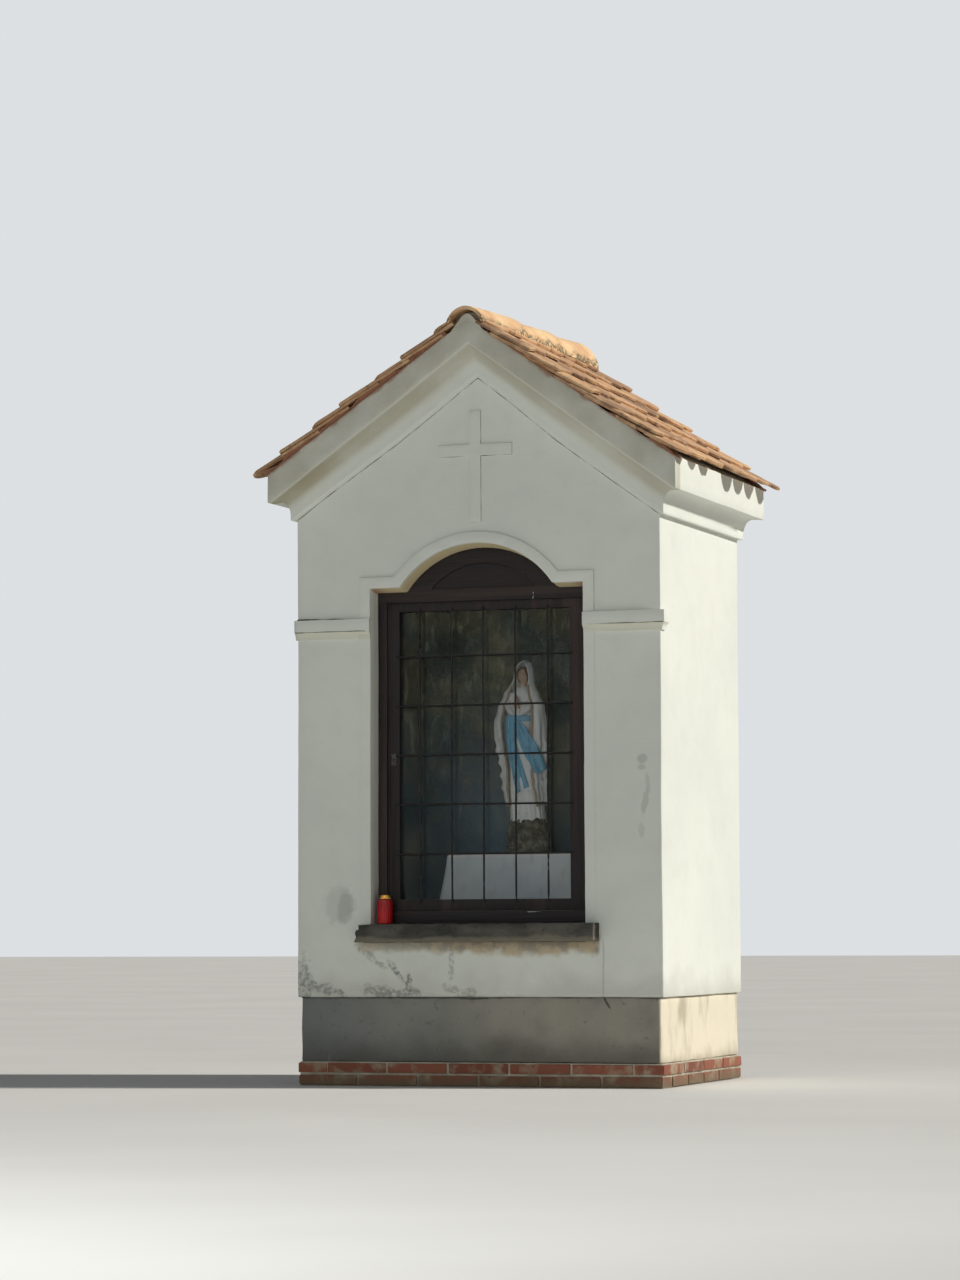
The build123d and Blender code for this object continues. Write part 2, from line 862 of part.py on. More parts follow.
with BuildPart() as candle_lid:
    with BuildSketch(Plane.XY.offset(sill_top + candle_jar_height)):
        with Locations((candle_x, candle_y)):
            RegularPolygon(candle_lid_radius, candle_facets)
    extrude(amount=candle_lid_height)
    chamfer(candle_lid.faces().sort_by(Axis.Z)[-1].edges(), length=candle_lid_bevel)
keep(candle_lid, "candle_lid")
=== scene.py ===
"""The looks of the wayside shrine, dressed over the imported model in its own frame.

Metres, +Z up, front along -Y. The building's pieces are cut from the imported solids, softened and
settled by one shared noise field, so that what touches in the model still touches here. Tiles,
bricks, bars, cloth and the figure are built point by point at their real size.
"""

import random
from math import atan2, cos, exp, hypot, pi, radians, sin, sqrt, tan

import bmesh
import bpy
from mathutils import Euler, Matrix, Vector, noise

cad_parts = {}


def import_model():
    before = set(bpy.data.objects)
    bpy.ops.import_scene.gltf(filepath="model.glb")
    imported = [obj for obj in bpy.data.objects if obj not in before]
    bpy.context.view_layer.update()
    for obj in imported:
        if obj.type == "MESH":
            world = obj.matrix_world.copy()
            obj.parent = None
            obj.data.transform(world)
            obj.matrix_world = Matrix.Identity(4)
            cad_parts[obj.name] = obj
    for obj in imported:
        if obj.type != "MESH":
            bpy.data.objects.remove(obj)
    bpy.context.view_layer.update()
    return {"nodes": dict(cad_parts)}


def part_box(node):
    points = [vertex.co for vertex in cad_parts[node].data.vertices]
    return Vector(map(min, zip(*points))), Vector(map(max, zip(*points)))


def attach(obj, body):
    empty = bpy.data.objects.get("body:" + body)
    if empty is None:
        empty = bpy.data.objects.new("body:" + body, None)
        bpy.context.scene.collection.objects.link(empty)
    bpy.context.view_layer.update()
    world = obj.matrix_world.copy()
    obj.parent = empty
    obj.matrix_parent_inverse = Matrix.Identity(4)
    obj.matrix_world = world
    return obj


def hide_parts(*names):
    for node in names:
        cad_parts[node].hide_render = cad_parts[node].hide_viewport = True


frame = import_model()
scene = bpy.context.scene
rng = random.Random(7)
# Without a seed the vector noise takes its offsets from the clock, and no two runs agree
noise.seed_set(7)

# Places and sizes that the pieces share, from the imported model's boxes, and its roof's pitch
wall_lo, wall_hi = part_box("front_gable")
front = wall_lo.y
half_width = wall_hi.x
apex = wall_hi.z
pitch = radians(34.4)
wall_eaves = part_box("eaves_cornice_right")[0].z
plinth_lo, plinth_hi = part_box("plinth")
footing_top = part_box("brick_footing")[1].z
sill_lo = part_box("window_sill")[0]
tiles_lo, tiles_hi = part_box("roof_tiles_right")
rail_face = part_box("frame_bottom_rail")[0].y
altar_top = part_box("altar_block")[1].z
base_lo, base_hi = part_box("statue_base")
jar_lo, jar_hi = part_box("candle_jar")
lid_lo, lid_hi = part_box("candle_lid")


# Numbers

def clamp(value, low, high):
    """The value, held between two limits."""
    return max(low, min(high, value))


def smooth(value, low, high):
    """0 below the low limit, 1 above the high one, and smooth between them."""
    t = clamp((value - low) / (high - low), 0.0, 1.0)
    return t * t * (3 - 2 * t)


def bell(value, middle, width):
    """1 at the middle, falling off to both sides."""
    return exp(-(((value - middle) / width) ** 2))


def bumpy(x, y, z, seed=Vector((0, 0, 0))):
    """Smooth noise at a place, from about -1 to 1."""
    return noise.noise(Vector((x, y, z)) + seed)


def blend_table(table, at):
    """Smoothly read values between the rows of a table whose first column is the place."""
    if at <= table[0][0]:
        return table[0][1:]
    for low, high in zip(table, table[1:]):
        if at <= high[0]:
            t = smooth(at, low[0], high[0])
            return tuple(a + (b - a) * t for a, b in zip(low[1:], high[1:]))
    return table[-1][1:]


def spread(lo, hi, step):
    """Evenly spaced places between two limits, about a step apart."""
    count = max(1, round((hi - lo) / step))
    return [lo + (hi - lo) * k / count for k in range(1, count)]


def grid(rows, columns, place):
    """Rows of points, each placed by its row and column."""
    return [[place(row, column) for column in range(columns)] for row in range(rows)]


def rings(rows, sides, place):
    """Rings of points, each placed by its row and its angle."""
    return grid(rows, sides, lambda row, side: place(row, 2 * pi * side / sides))


# Meshes

def settled(point, grain=0.0):
    """Where a point of the old building has come to lie, with a little hand-made unevenness."""
    moved = point + noise.noise_vector(point * 1.7) * 0.0022
    if grain:
        moved += noise.noise_vector(point * 11.0 + Vector((3.1, 5.7, 9.2))) * grain
    return moved


def to_mesh(bm, name):
    """Turn a bmesh into a mesh with its faces outward."""
    bmesh.ops.recalc_face_normals(bm, faces=bm.faces)
    mesh = bpy.data.meshes.new(name)
    bm.to_mesh(mesh)
    bm.free()
    return mesh


def add_piece(name, bm, material, replaced=(), angle=32):
    """Put a finished form into the scene, riding on the building."""
    mesh = to_mesh(bm, name)
    mesh.materials.append(material)
    mesh.polygons.foreach_set("use_smooth", [True] * len(mesh.polygons))
    mesh.set_sharp_from_angle(angle=radians(angle))
    mesh.update()
    piece = bpy.data.objects.new(name, mesh)
    scene.collection.objects.link(piece)
    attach(piece, "root")
    if replaced:
        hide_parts(*replaced)
    return piece


def evaluated_mesh(piece):
    """A mesh of the piece with its modifiers applied."""
    graph = bpy.context.evaluated_depsgraph_get()
    return bpy.data.meshes.new_from_object(piece.evaluated_get(graph))


def thicken(piece, thickness):
    """Give a sheet its thickness."""
    thick = piece.modifiers.new("thickness", "SOLIDIFY")
    thick.thickness = thickness
    thick.offset = -1
    done = evaluated_mesh(piece)
    piece.modifiers.clear()
    piece.data = done


def repaint(material, *names):
    """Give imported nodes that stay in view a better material."""
    for name in names:
        materials = frame["nodes"][name].data.materials
        materials.clear()
        materials.append(material)


def welded(mesh):
    """A mesh as one welded bmesh, with each flat face whole again."""
    bm = bmesh.new()
    bm.from_mesh(mesh)
    bmesh.ops.remove_doubles(bm, verts=bm.verts, dist=1e-5)
    bmesh.ops.dissolve_limit(bm, angle_limit=radians(0.8), verts=bm.verts[:], edges=bm.edges[:])
    return bm


def node_bmesh(name):
    """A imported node, welded."""
    return welded(frame["nodes"][name].data)


def united(names):
    """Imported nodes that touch, joined to one closed bmesh."""
    parts = []
    for name in names:
        part = bpy.data.objects.new("part", to_mesh(node_bmesh(name), "part"))
        scene.collection.objects.link(part)
        parts.append(part)
    for part in parts[1:]:
        join = parts[0].modifiers.new("join", "BOOLEAN")
        join.operation = "UNION"
        join.solver = "EXACT"
        join.object = part
    mesh = evaluated_mesh(parts[0])
    for part in parts:
        bpy.data.objects.remove(part)
    return welded(mesh)


def soften(bm, width, segments=2):
    """Round the sharp edges by a few millimetres."""
    sharp = radians(25)
    edges = [e for e in bm.edges if len(e.link_faces) == 2 and e.calc_face_angle(0) > sharp]
    bevelled(bm, edges, width, segments, 0.5)


def bevelled(bm, edges, width, segments, profile):
    """Bevel some edges and give back what that made."""
    return bmesh.ops.bevel(
        bm,
        geom=edges,
        offset=width,
        offset_type="OFFSET",
        segments=segments,
        profile=profile,
        affect="EDGES",
        clamp_overlap=True,
    )


def cut(bm, axis, places, chosen=None):
    """Cut the mesh, or only the faces chosen by their middle, by planes across one axis."""
    normal = Vector((0, 0, 0))
    normal[axis] = 1
    for place in places:
        faces = [f for f in bm.faces if chosen is None or chosen(f.calc_center_median())]
        if chosen is None:
            geom = bm.verts[:] + bm.edges[:] + faces
        else:
            geom = list({e for f in faces for e in f.edges}) + faces
            geom += list({v for f in faces for v in f.verts})
        bmesh.ops.bisect_plane(bm, geom=geom, dist=1e-5, plane_co=normal * place, plane_no=normal)


def gridded(bm, step):
    """Cut the mesh into cells about a step wide."""
    for axis in range(3):
        reach = [v.co[axis] for v in bm.verts]
        cut(bm, axis, spread(min(reach), max(reach), step))


def weathered(name, nodes, material, bevel, step, grain=0.0007):
    """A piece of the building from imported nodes: softened, cut fine and settled."""
    bm = united(nodes) if len(nodes) > 1 else node_bmesh(nodes[0])
    soften(bm, bevel)
    if step:
        gridded(bm, step)
    for v in bm.verts:
        v.co = settled(v.co, grain)
    return add_piece(name, bm, material, nodes)


def skin(bm, rows, closed=True, looped=False):
    """Quads between rows of points; closed makes rings of the rows, looped joins the last to the first."""
    made = [[bm.verts.new(p) for p in row] for row in rows]
    for low, high in zip(made, made[1:] + made[:1] * looped):
        count = len(low)
        for k in range(count if closed else count - 1):
            n = (k + 1) % count
            bm.faces.new((low[k], low[n], high[n], high[k]))
    return made


def capped(bm, rows):
    """A closed form from rings of points over one another."""
    made = skin(bm, rows)
    bm.faces.new(made[0])
    bm.faces.new(made[-1])


def shell(bm, upper, lower):
    """A closed plate between two grids of points; gives back its corners."""
    top = skin(bm, upper, closed=False)
    low = skin(bm, lower, closed=False)
    for k in range(len(top) - 1):
        for u in (0, -1):
            bm.faces.new((top[k][u], top[k + 1][u], low[k + 1][u], low[k][u]))
    for t in (0, -1):
        for k in range(len(top[0]) - 1):
            bm.faces.new((top[t][k], top[t][k + 1], low[t][k + 1], low[t][k]))
    return [v for row in top + low for v in row]


def swept(bm, points, sides, section):
    """A closed bar along a row of points; section gives its half sizes at a share and an angle."""
    last = len(points) - 1
    turns = [
        (points[min(k + 1, last)] - points[max(k - 1, 0)]).to_track_quat("Z", "Y")
        for k in range(last + 1)
    ]

    def place(k, angle):
        wide, deep = section(k / last, angle)
        return points[k] + turns[k] @ Vector((cos(angle) * wide, sin(angle) * deep, 0))

    capped(bm, rings(last + 1, sides, place))


def tube(bm, points, radius, sides=8):
    """A round bar along a row of points, with a radius for each share of its length."""
    swept(bm, points, sides, lambda t, angle: (radius(t), radius(t)))


def block(bm, lo, hi):
    """A plain block between two corners."""
    made = bmesh.ops.create_cube(bm, size=1.0)["verts"]
    for v in made:
        v.co = Vector((lo[k] + hi[k]) / 2 + v.co[k] * (hi[k] - lo[k]) for k in range(3))
    return made


def toned_bmesh():
    """A new bmesh whose points carry a tone for the material."""
    bm = bmesh.new()
    return bm, bm.verts.layers.float_color.new("tone")


# Materials

def rgb(*screen):
    """A colour given as it looks on screen, as the shader wants it."""
    shares = [c / 255 for c in screen]
    return tuple(c / 12.92 if c <= 0.04 else ((c + 0.055) / 1.055) ** 2.4 for c in shares) + (1,)


class Field:
    """A number that varies over a surface. It adds, multiplies and ramps by nodes."""

    def __init__(self, surface, socket):
        self.surface = surface
        self.socket = socket

    def combined(self, what, other=0.0):
        made = self.surface.node("Math")
        made.operation = what
        self.surface.put(made.inputs[0], self)
        self.surface.put(made.inputs[1], other)
        return Field(self.surface, made.outputs[0])

    def __add__(self, other):
        return self.combined("ADD", other)

    def __sub__(self, other):
        return self.combined("SUBTRACT", other)

    def __mul__(self, other):
        return self.combined("MULTIPLY", other)

    def __abs__(self):
        return self.combined("ABSOLUTE")

    def sine(self):
        return self.combined("SINE")

    def ramp(self, low, high, out_low=0.0, out_high=1.0):
        """Carry the number from one range to another, smoothly and held at both ends."""
        made = self.surface.node("MapRange")
        made.interpolation_type = "SMOOTHSTEP"
        for socket, value in zip(made.inputs, (self, low, high, out_low, out_high)):
            self.surface.put(socket, value)
        return Field(self.surface, made.outputs[0])


class Surface:
    """A node material that is built up by short calls. Patterns lie in the object's metres."""

    def __init__(self, name, roughness, **settings):
        self.material = bpy.data.materials.new(name)
        self.material.use_nodes = True
        self.tree = self.material.node_tree
        self.shader = self.tree.nodes["Principled BSDF"]
        self.place = self.node("TexCoord").outputs["Object"]
        self.normal = None
        self.colour = None
        self.noises = {}
        for setting, value in {"Roughness": roughness, **settings}.items():
            self.set(setting.replace("_", " "), value)

    def put(self, socket, value):
        """Link a socket to a field or another socket, or set its own value."""
        value = value.socket if isinstance(value, Field) else value
        if isinstance(value, bpy.types.NodeSocket):
            self.tree.links.new(value, socket)
        else:
            socket.default_value = value

    def set(self, name, value):
        """Set or link one of the shader's own inputs."""
        self.put(self.shader.inputs[name], value)

    def node(self, kind, **inputs):
        made = self.tree.nodes.new("ShaderNode" + kind)
        for name, value in inputs.items():
            self.put(made.inputs[name], value)
        return made

    def parts(self, kind, **source):
        """The parts of a vector or a colour, by a node that separates them."""
        return [Field(self, part) for part in self.node(kind, **source).outputs]

    def axes(self):
        return self.parts("SeparateXYZ", Vector=self.place)

    def facing_up(self):
        return self.parts("SeparateXYZ", Vector=self.node("NewGeometry").outputs["Normal"])[2]

    def tones(self):
        """The tones that the mesh carries."""
        made = self.node("Attribute")
        made.attribute_name = "tone"
        return self.parts("SeparateColor", Color=made.outputs["Color"])

    def noise(self, scale, detail, stretch=(1, 1, 1)):
        key = (scale, detail, stretch)
        if key not in self.noises:
            where = self.node("Mapping", Vector=self.place, Scale=[scale * s for s in stretch])
            made = self.node("TexNoise", Vector=where.outputs[0], Scale=1.0, Detail=detail)
            self.noises[key] = Field(self, made.outputs[0])
        return self.noises[key]

    def spot(self, centre, size, ragged, soft, scale, lean):
        """A ragged patch round a place, leaning in the front's plane; 1 inside and 0 outside."""
        where = self.node("Mapping", Vector=self.place, Location=centre, Scale=size)
        where.vector_type = "TEXTURE"
        where.inputs["Rotation"].default_value = (0, radians(lean), 0)
        length = self.node("VectorMath")
        length.operation = "LENGTH"
        self.put(length.inputs[0], where.outputs[0])
        jitter = (self.noise(scale, 5) - 0.5) * (2 * ragged)
        return (jitter + Field(self, length.outputs["Value"])).ramp(1 - soft, 1 + soft, 1.0, 0.0)

    def mix(self, amount, a, b):
        """Blend two colours, each a screen colour or another blend."""
        made = self.node("Mix")
        made.data_type = "RGBA"
        for index, value in ((0, amount), (6, a), (7, b)):
            self.put(made.inputs[index], rgb(*value) if isinstance(value, tuple) else value)
        return made.outputs[2]

    def ground(self, scale, detail, low, high, a, b, stretch=(1, 1, 1)):
        """Begin the colour as two that blend by a noise."""
        self.colour = self.mix(self.noise(scale, detail, stretch).ramp(low, high), a, b)

    def over(self, mask, colour):
        """Lay a colour over what is there, as far as the mask goes."""
        self.colour = self.mix(mask, self.colour, colour)

    def flecks(self, scale, detail, low, high, strong, colour, stretch=(1, 1, 1)):
        """Lay a colour over the places where a noise is high."""
        self.over(self.noise(scale, detail, stretch).ramp(low, high, 0.0, strong), colour)

    def soiled(self, strong):
        """Earth splashed up from the ground."""
        low = self.axes()[2] + self.noise(20, 5) * -0.07
        self.over(low.ramp(-0.03, 0.03, strong, 0.0), (112, 98, 76))

    def bump(self, height, depth):
        """Raise the surface by a pattern, on top of what was raised before."""
        made = self.node("Bump", Height=height, Distance=depth, Strength=1.0)
        if self.normal:
            self.put(made.inputs["Normal"], self.normal)
        self.normal = made.outputs[0]
        self.set("Normal", self.normal)

    def finished(self, *grains):
        """The material, raised by noises given as scale, detail and depth."""
        for scale, detail, depth in grains:
            self.bump(self.noise(scale, detail), depth)
        self.set("Base Color", self.colour)
        return self.material


# Patches where the wash has peeled: place, size, lean, strength and raggedness on the front
PEELED = (
    (-0.575, 0.705, 0.062, 0.070, 12, 0.22, 0.5),
    (-0.548, 0.695, 0.030, 0.062, 6, 0.30, 0.45),
    (0.671, 1.258, 0.020, 0.019, 0, 0.34, 0.5),
    (0.671, 1.225, 0.016, 0.010, 0, 0.28, 0.5),
    (0.694, 1.165, 0.009, 0.040, -6, 0.22, 0.6),
    (0.682, 1.090, 0.012, 0.050, 10, 0.28, 0.6),
    (0.667, 0.985, 0.012, 0.030, 0, 0.20, 0.6),
    (-0.735, 0.400, 0.040, 0.085, 0, 0.55, 1.3),
    (-0.640, 0.380, 0.090, 0.020, 14, 0.60, 1.3),
    (-0.417, 0.370, 0.070, 0.022, 0, 0.60, 1.3),
    (-0.300, 0.362, 0.060, 0.016, -8, 0.60, 1.2),
    (-0.465, 0.520, 0.055, 0.014, 38, 0.40, 1.2),
    (-0.400, 0.470, 0.034, 0.011, 20, 0.40, 1.2),
    (-0.335, 0.445, 0.062, 0.011, 50, 0.75, 1.0),
    (-0.285, 0.395, 0.012, 0.035, 0, 0.75, 0.9),
    (-0.106, 0.490, 0.010, 0.085, 0, 0.40, 1.2),
    (-0.100, 0.372, 0.045, 0.020, 25, 0.42, 1.2),
    (-0.030, 0.368, 0.022, 0.020, 0, 0.42, 1.2),
)


def plaster_material():
    """Limewashed plaster: trowel marks, a grimy hollow moulding and dull fascia under the gable, both
    deepened by painted shade, washed-out foot, peeled patches, and painted warm shade and light under the
    arch and on the imposts.
    """
    s = Surface("limewashed plaster", 0.88)
    x, y, z = s.axes()
    s.ground(1.3, 4, 0.3, 0.7, (219, 223, 215), (228, 231, 222))
    s.flecks(9, 6, 0.45, 0.78, 0.25, (210, 210, 204))
    s.flecks(170, 2, 0.70, 0.8, 0.35, (186, 184, 176))
    # Years of grime in the cove over the gable, with painted shade that is heavier to the left, and painted
    # shade dulling the fascia before it
    high = z.ramp(wall_eaves - 0.05, wall_eaves + 0.05)
    cove_grime_and_shade = y.ramp(front - 0.088, front - 0.07) * y.ramp(front - 0.018, front - 0.035) * high
    cove_grime_and_shade = cove_grime_and_shade * s.noise(2.4, 4).ramp(0.3, 0.65, 0.55, 0.95) * x.ramp(-0.75, 0.1, 1.0, 0.7)
    s.over(cove_grime_and_shade, (166, 158, 132))
    fascia = y.ramp(front - 0.08, front - 0.088)
    s.over(fascia * high * s.noise(6, 5).ramp(0.25, 0.7, 0.5, 0.95), (186, 184, 170))
    # Clay dust and old mortar smeared down from the tiles on the top of the fascia
    smear = abs(x) * tan(pitch) + (z - apex) + s.noise(13, 6) * 0.07
    smear = smear.ramp(0.022, 0.038) * fascia * abs(x).ramp(0.12, 0.3, 0.0, 0.65)
    s.over(smear, (150, 110, 84))
    # Rain splash over the plinth
    splash = z + s.noise(7, 5) * -0.22
    s.over(splash.ramp(0.22, 0.36, 0.5, 0.0), (186, 184, 174))
    # A thin ragged ochre band under the sill, growing to the right
    before = y.ramp(front + 0.02, front + 0.01)
    band = z + s.noise(14, 8) * 0.085 + x.ramp(-0.5, 0.3, -0.016, 0.0)
    band = band.ramp(0.540, 0.570) * before * abs(x).ramp(0.505, 0.485)
    band = band * z.ramp(sill_lo.z + 0.03, sill_lo.z + 0.02) * x.ramp(-0.45, 0.0, 0.55, 0.85)
    s.over(band, s.mix(s.noise(19, 5).ramp(0.42, 0.6), (190, 170, 136), (148, 136, 118)))
    # Where the wash has peeled down to grey, the most ragged patches lie deeper and are blotched
    blotch = s.noise(64, 8).ramp(0.42, 0.58, 0.3, 1.2)
    for px, pz, wide, tall, lean, strong, ragged in PEELED:
        patch = s.spot((px, front, pz), (wide, 0.06, tall), ragged, 0.3, 31, lean)
        if ragged > 0.8:
            s.bump(patch, -0.0005)
            patch = patch * blotch
        s.over(patch * strong, (132, 136, 132))
    # Painted warm shade on the faces that look down under the arch and the shoulders, redder in their
    # corners
    soffit_shade = s.facing_up().ramp(-0.12, -0.4) * y.ramp(front + 0.002, front + 0.012)
    soffit_shade = soffit_shade * z.ramp(1.88, 1.9) * z.ramp(2.2, 2.15) * abs(x).ramp(0.46, 0.445)
    warm = s.mix(abs(x).ramp(0.37, 0.44), (212, 194, 150), (178, 136, 104))
    s.over(soffit_shade * 0.9, warm)
    # Painted warm bounce light, a faint yellow, on the moulding of the imposts
    moulding_bounce_light = z.ramp(1.745, 1.753) * z.ramp(1.784, 1.776) * y.ramp(front - 0.002, front - 0.006)
    s.over(moulding_bounce_light * 0.45, (212, 209, 182))
    # The joint that runs down from the sill's right end
    seam = abs(x - (s.noise(6, 3) * 0.016 + 0.503)).ramp(0.0015, 0.004, 1.0, 0.0)
    seam = seam * before * z.ramp(0.58, 0.56)
    s.over(seam * 0.35, (150, 150, 142))
    s.bump(seam, -0.001)
    return s.finished((7, 4, 0.006), (140, 4, 0.0007))


def niche_material():
    """Old slate-blue wall paint, clean and bluer below; above, grimed and greenish with a painted reflection
    of trees.
    """
    s = Surface("niche paint", 0.9)
    z = s.axes()[2]
    # The greenish tone above is a painted reflection of trees; the flecks over it are grime with more of
    # that reflection
    s.colour = s.mix((z + s.noise(4, 4) * 0.3).ramp(1.25, 1.8), (92, 115, 132), (76, 82, 73))
    grime_and_painted_light = s.noise(17, 6).ramp(0.42, 0.7, 0.0, 0.7) * z.ramp(1.1, 1.6, 0.25, 1.0)
    s.over(grime_and_painted_light, (122, 121, 100))
    s.flecks(75, 5, 0.56, 0.7, 0.45, (126, 130, 118))
    return s.finished((60, 4, 0.001))


def render_material():
    """Cement render of the plinth: smooth, darker to the ground, and lighter and warmer on its right side as
    painted sunlight.
    """
    s = Surface("cement render", 0.92)
    x, _, z = s.axes()
    s.ground(3, 6, 0.3, 0.7, (136, 134, 126), (160, 156, 142))
    s.over(x.ramp(-0.7, 0.25, 0.75, 0.0), (112, 118, 120))
    s.flecks(7, 8, 0.5, 0.75, 0.4, (112, 108, 98))
    s.flecks(42, 5, 0.62, 0.72, 0.4, (88, 88, 82))
    height = z + s.noise(5, 5) * -0.18
    s.over(height.ramp(0.0, 0.15, 0.7, 0.0), (84, 82, 76))
    s.flecks(30, 5, 0.64, 0.78, 0.3, (180, 176, 164), (1, 1, 0.2))
    # A short crack from the top edge near the right end
    crack = s.spot((0.519, front, 0.328), (0.026, 0.06, 0.005), 0.9, 0.35, 46, 58)
    s.over(crack * 0.85, (70, 68, 62))
    s.bump(crack, -0.002)
    # Painted sunlight on the right side: lighter and warmer, with pale drip streaks and a darker foot
    drips = s.noise(6.5, 7, (1, 1, 0.45)).ramp(0.47, 0.68)
    painted_sunlight = s.mix(drips, (224, 215, 194), (184, 174, 154))
    painted_sunlight = s.mix(height.ramp(-0.02, 0.06, 0.5, 0.0), painted_sunlight, (150, 140, 120))
    s.over(x.ramp(plinth_hi.x - 0.012, plinth_hi.x - 0.004), painted_sunlight)
    return s.finished((12, 5, 0.006), (190, 4, 0.0012))


def brick_material():
    """Old red brick with lime smears."""
    s = Surface("old brick", 0.9)
    s.colour = s.mix(s.tones()[0], (116, 66, 50), (150, 92, 70))
    s.flecks(14, 6, 0.47, 0.66, 0.8, (166, 152, 128))
    s.flecks(60, 4, 0.6, 0.75, 0.5, (84, 64, 54))
    s.soiled(0.85)
    return s.finished((90, 5, 0.003))


def mortar_material():
    """Pale lime mortar with coarse sand."""
    s = Surface("lime mortar", 0.95)
    s.ground(18, 6, 0.35, 0.7, (170, 162, 144), (200, 194, 178))
    s.flecks(150, 3, 0.62, 0.74, 0.7, (128, 116, 98))
    s.soiled(0.7)
    return s.finished((120, 5, 0.0025))


def stone_material():
    """Rough dark sandstone of the sill, worn lighter along its edge."""
    s = Surface("sill stone", 0.92, Specular_IOR_Level=0.15)
    s.ground(12, 7, 0.32, 0.7, (62, 62, 60), (98, 95, 88), (0.5, 1, 1))
    s.flecks(70, 5, 0.58, 0.74, 0.6, (42, 42, 41))
    edge = s.axes()[2] + s.noise(9, 5) * 0.05
    s.over(edge.ramp(sill_lo.z + 0.035, sill_lo.z + 0.05, 0.6, 0.0), (136, 130, 114))
    return s.finished((46, 6, 0.006), (220, 3, 0.001))


def tile_material():
    """Hand-struck clay: burnt and pale patches, lichen, finger grooves down the slope."""
    s = Surface("roof clay", 0.86)
    tones = s.tones()
    s.colour = s.mix(tones[0], (160, 122, 92), (216, 173, 131))
    s.over(tones[1].ramp(0.72, 0.95, 0.0, 0.7), (112, 82, 66))
    s.flecks(16, 6, 0.45, 0.72, 0.7, (224, 188, 144))
    s.flecks(34, 6, 0.55, 0.72, 0.75, (106, 80, 64))
    s.flecks(55, 4, 0.64, 0.7, 0.7, (170, 160, 126))
    s.bump(s.noise(110, 2, (0.05, 1, 0.05)), 0.0016)
    return s.finished((28, 5, 0.004), (90, 5, 0.002))


def ridge_material():
    """Ridge clay, bleached to ochre and spotted with lichen."""
    s = Surface("ridge clay", 0.88)
    s.ground(7, 6, 0.35, 0.68, (216, 172, 130), (240, 206, 160))
    s.flecks(30, 6, 0.56, 0.74, 0.6, (150, 118, 90))
    low = s.axes()[2] + s.noise(16, 5) * -0.07
    crust = low.ramp(apex - 0.045, apex - 0.015, 1.0, 0.0) * s.noise(70, 5).ramp(0.42, 0.55)
    s.over(crust, (112, 104, 76))
    s.bump(crust, 0.003)
    s.flecks(60, 4, 0.63, 0.7, 0.6, (200, 190, 158))
    return s.finished((24, 5, 0.004), (150, 3, 0.001))


def timber_material(name, stretch):
    """Nearly black oiled oak, greyed and open-grained along its stretch."""
    s = Surface(name, 0.66, Specular_IOR_Level=0.22)
    grain = s.noise(150, 5, stretch)
    s.colour = s.mix(grain.ramp(0.35, 0.68), (28, 24, 25), (50, 43, 42))
    s.flecks(14, 7, 0.5, 0.72, 0.5, (78, 64, 58), stretch)
    # Dust lies on whatever faces up
    dust = s.facing_up().ramp(0.5, 0.9) * s.noise(30, 5).ramp(0.3, 0.6, 0.3, 0.8)
    s.over(dust, (124, 118, 106))
    s.set("Roughness", grain.ramp(0.3, 0.7, 0.5, 0.78))
    s.bump(grain, 0.0014)
    return s.finished()


def iron_material():
    """Wrought iron bars, painted dark and rusted through in places."""
    s = Surface("grille iron", 0.6, Specular_IOR_Level=0.3)
    rust = s.noise(60, 6).ramp(0.48, 0.64)
    s.colour = s.mix(rust * 0.6, (18, 18, 20), (50, 37, 31))
    s.set("Roughness", rust.ramp(0.0, 1.0, 0.5, 0.9))
    return s.finished((220, 4, 0.0006))


def glass_material():
    """Old window glass under a patchy film of dust, more streaked above."""
    s = Surface("dusty glass", 0.06, Metallic=0.55, Specular_IOR_Level=0.5)
    s.ground(6, 6, 0.35, 0.65, (88, 98, 92), (132, 128, 104))
    streak = s.noise(34, 8, (1, 1, 0.4)).ramp(0.5, 0.72, 0.0, 0.14)
    streak = streak * s.axes()[2].ramp(1.0, 1.5, 0.35, 1.0)
    s.set("Alpha", s.noise(4, 5).ramp(0.35, 0.75, 0.05, 0.11) + streak)
    return s.finished((5, 2, 0.004))


def cloth_material():
    """White linen with a plain weave and a faint blue of painted sky-lit shade, brightest on the altar's
    top.
    """
    s = Surface("altar linen", 0.85, Sheen_Weight=0.3)
    x, y, z = s.axes()
    threads = 2600
    # Both tones lean faintly blue as painted sky-lit shade
    s.ground(8, 5, 0.35, 0.75, (240, 247, 250), (226, 235, 240))
    s.over(z.ramp(altar_top - 0.016, altar_top - 0.013), (253, 254, 254))
    s.bump((x * threads).sine() * ((z + y) * threads).sine(), 0.0003)
    return s.finished()


def painted(name, main, worn, roughness=0.55, depth=0.0008):
    """Oil paint on plaster: a main colour that has yellowed and rubbed in places."""
    s = Surface(name, roughness)
    s.colour = main
    s.flecks(34, 6, 0.5, 0.78, 0.7, worn)
    return s.finished((160, 4, depth))


def veil_material():
    """White mantle with a gilt line along its edge."""
    s = Surface("painted mantle", 0.55)
    s.colour = (242, 246, 245)
    s.flecks(30, 6, 0.5, 0.8, 0.6, (220, 223, 218))
    s.over(s.tones()[0].ramp(0.45, 0.55, 0.0, 0.8), (148, 112, 70))
    return s.finished((160, 4, 0.0006))


def rock_material():
    """Painted plaster rock: grey-brown with mossy hollows."""
    s = Surface("painted rock", 0.8)
    s.ground(30, 5, 0.35, 0.65, (58, 57, 50), (116, 114, 104))
    s.flecks(52, 4, 0.56, 0.68, 0.8, (48, 55, 44))
    s.flecks(130, 4, 0.62, 0.7, 0.7, (196, 194, 182))
    return s.finished((90, 5, 0.003))


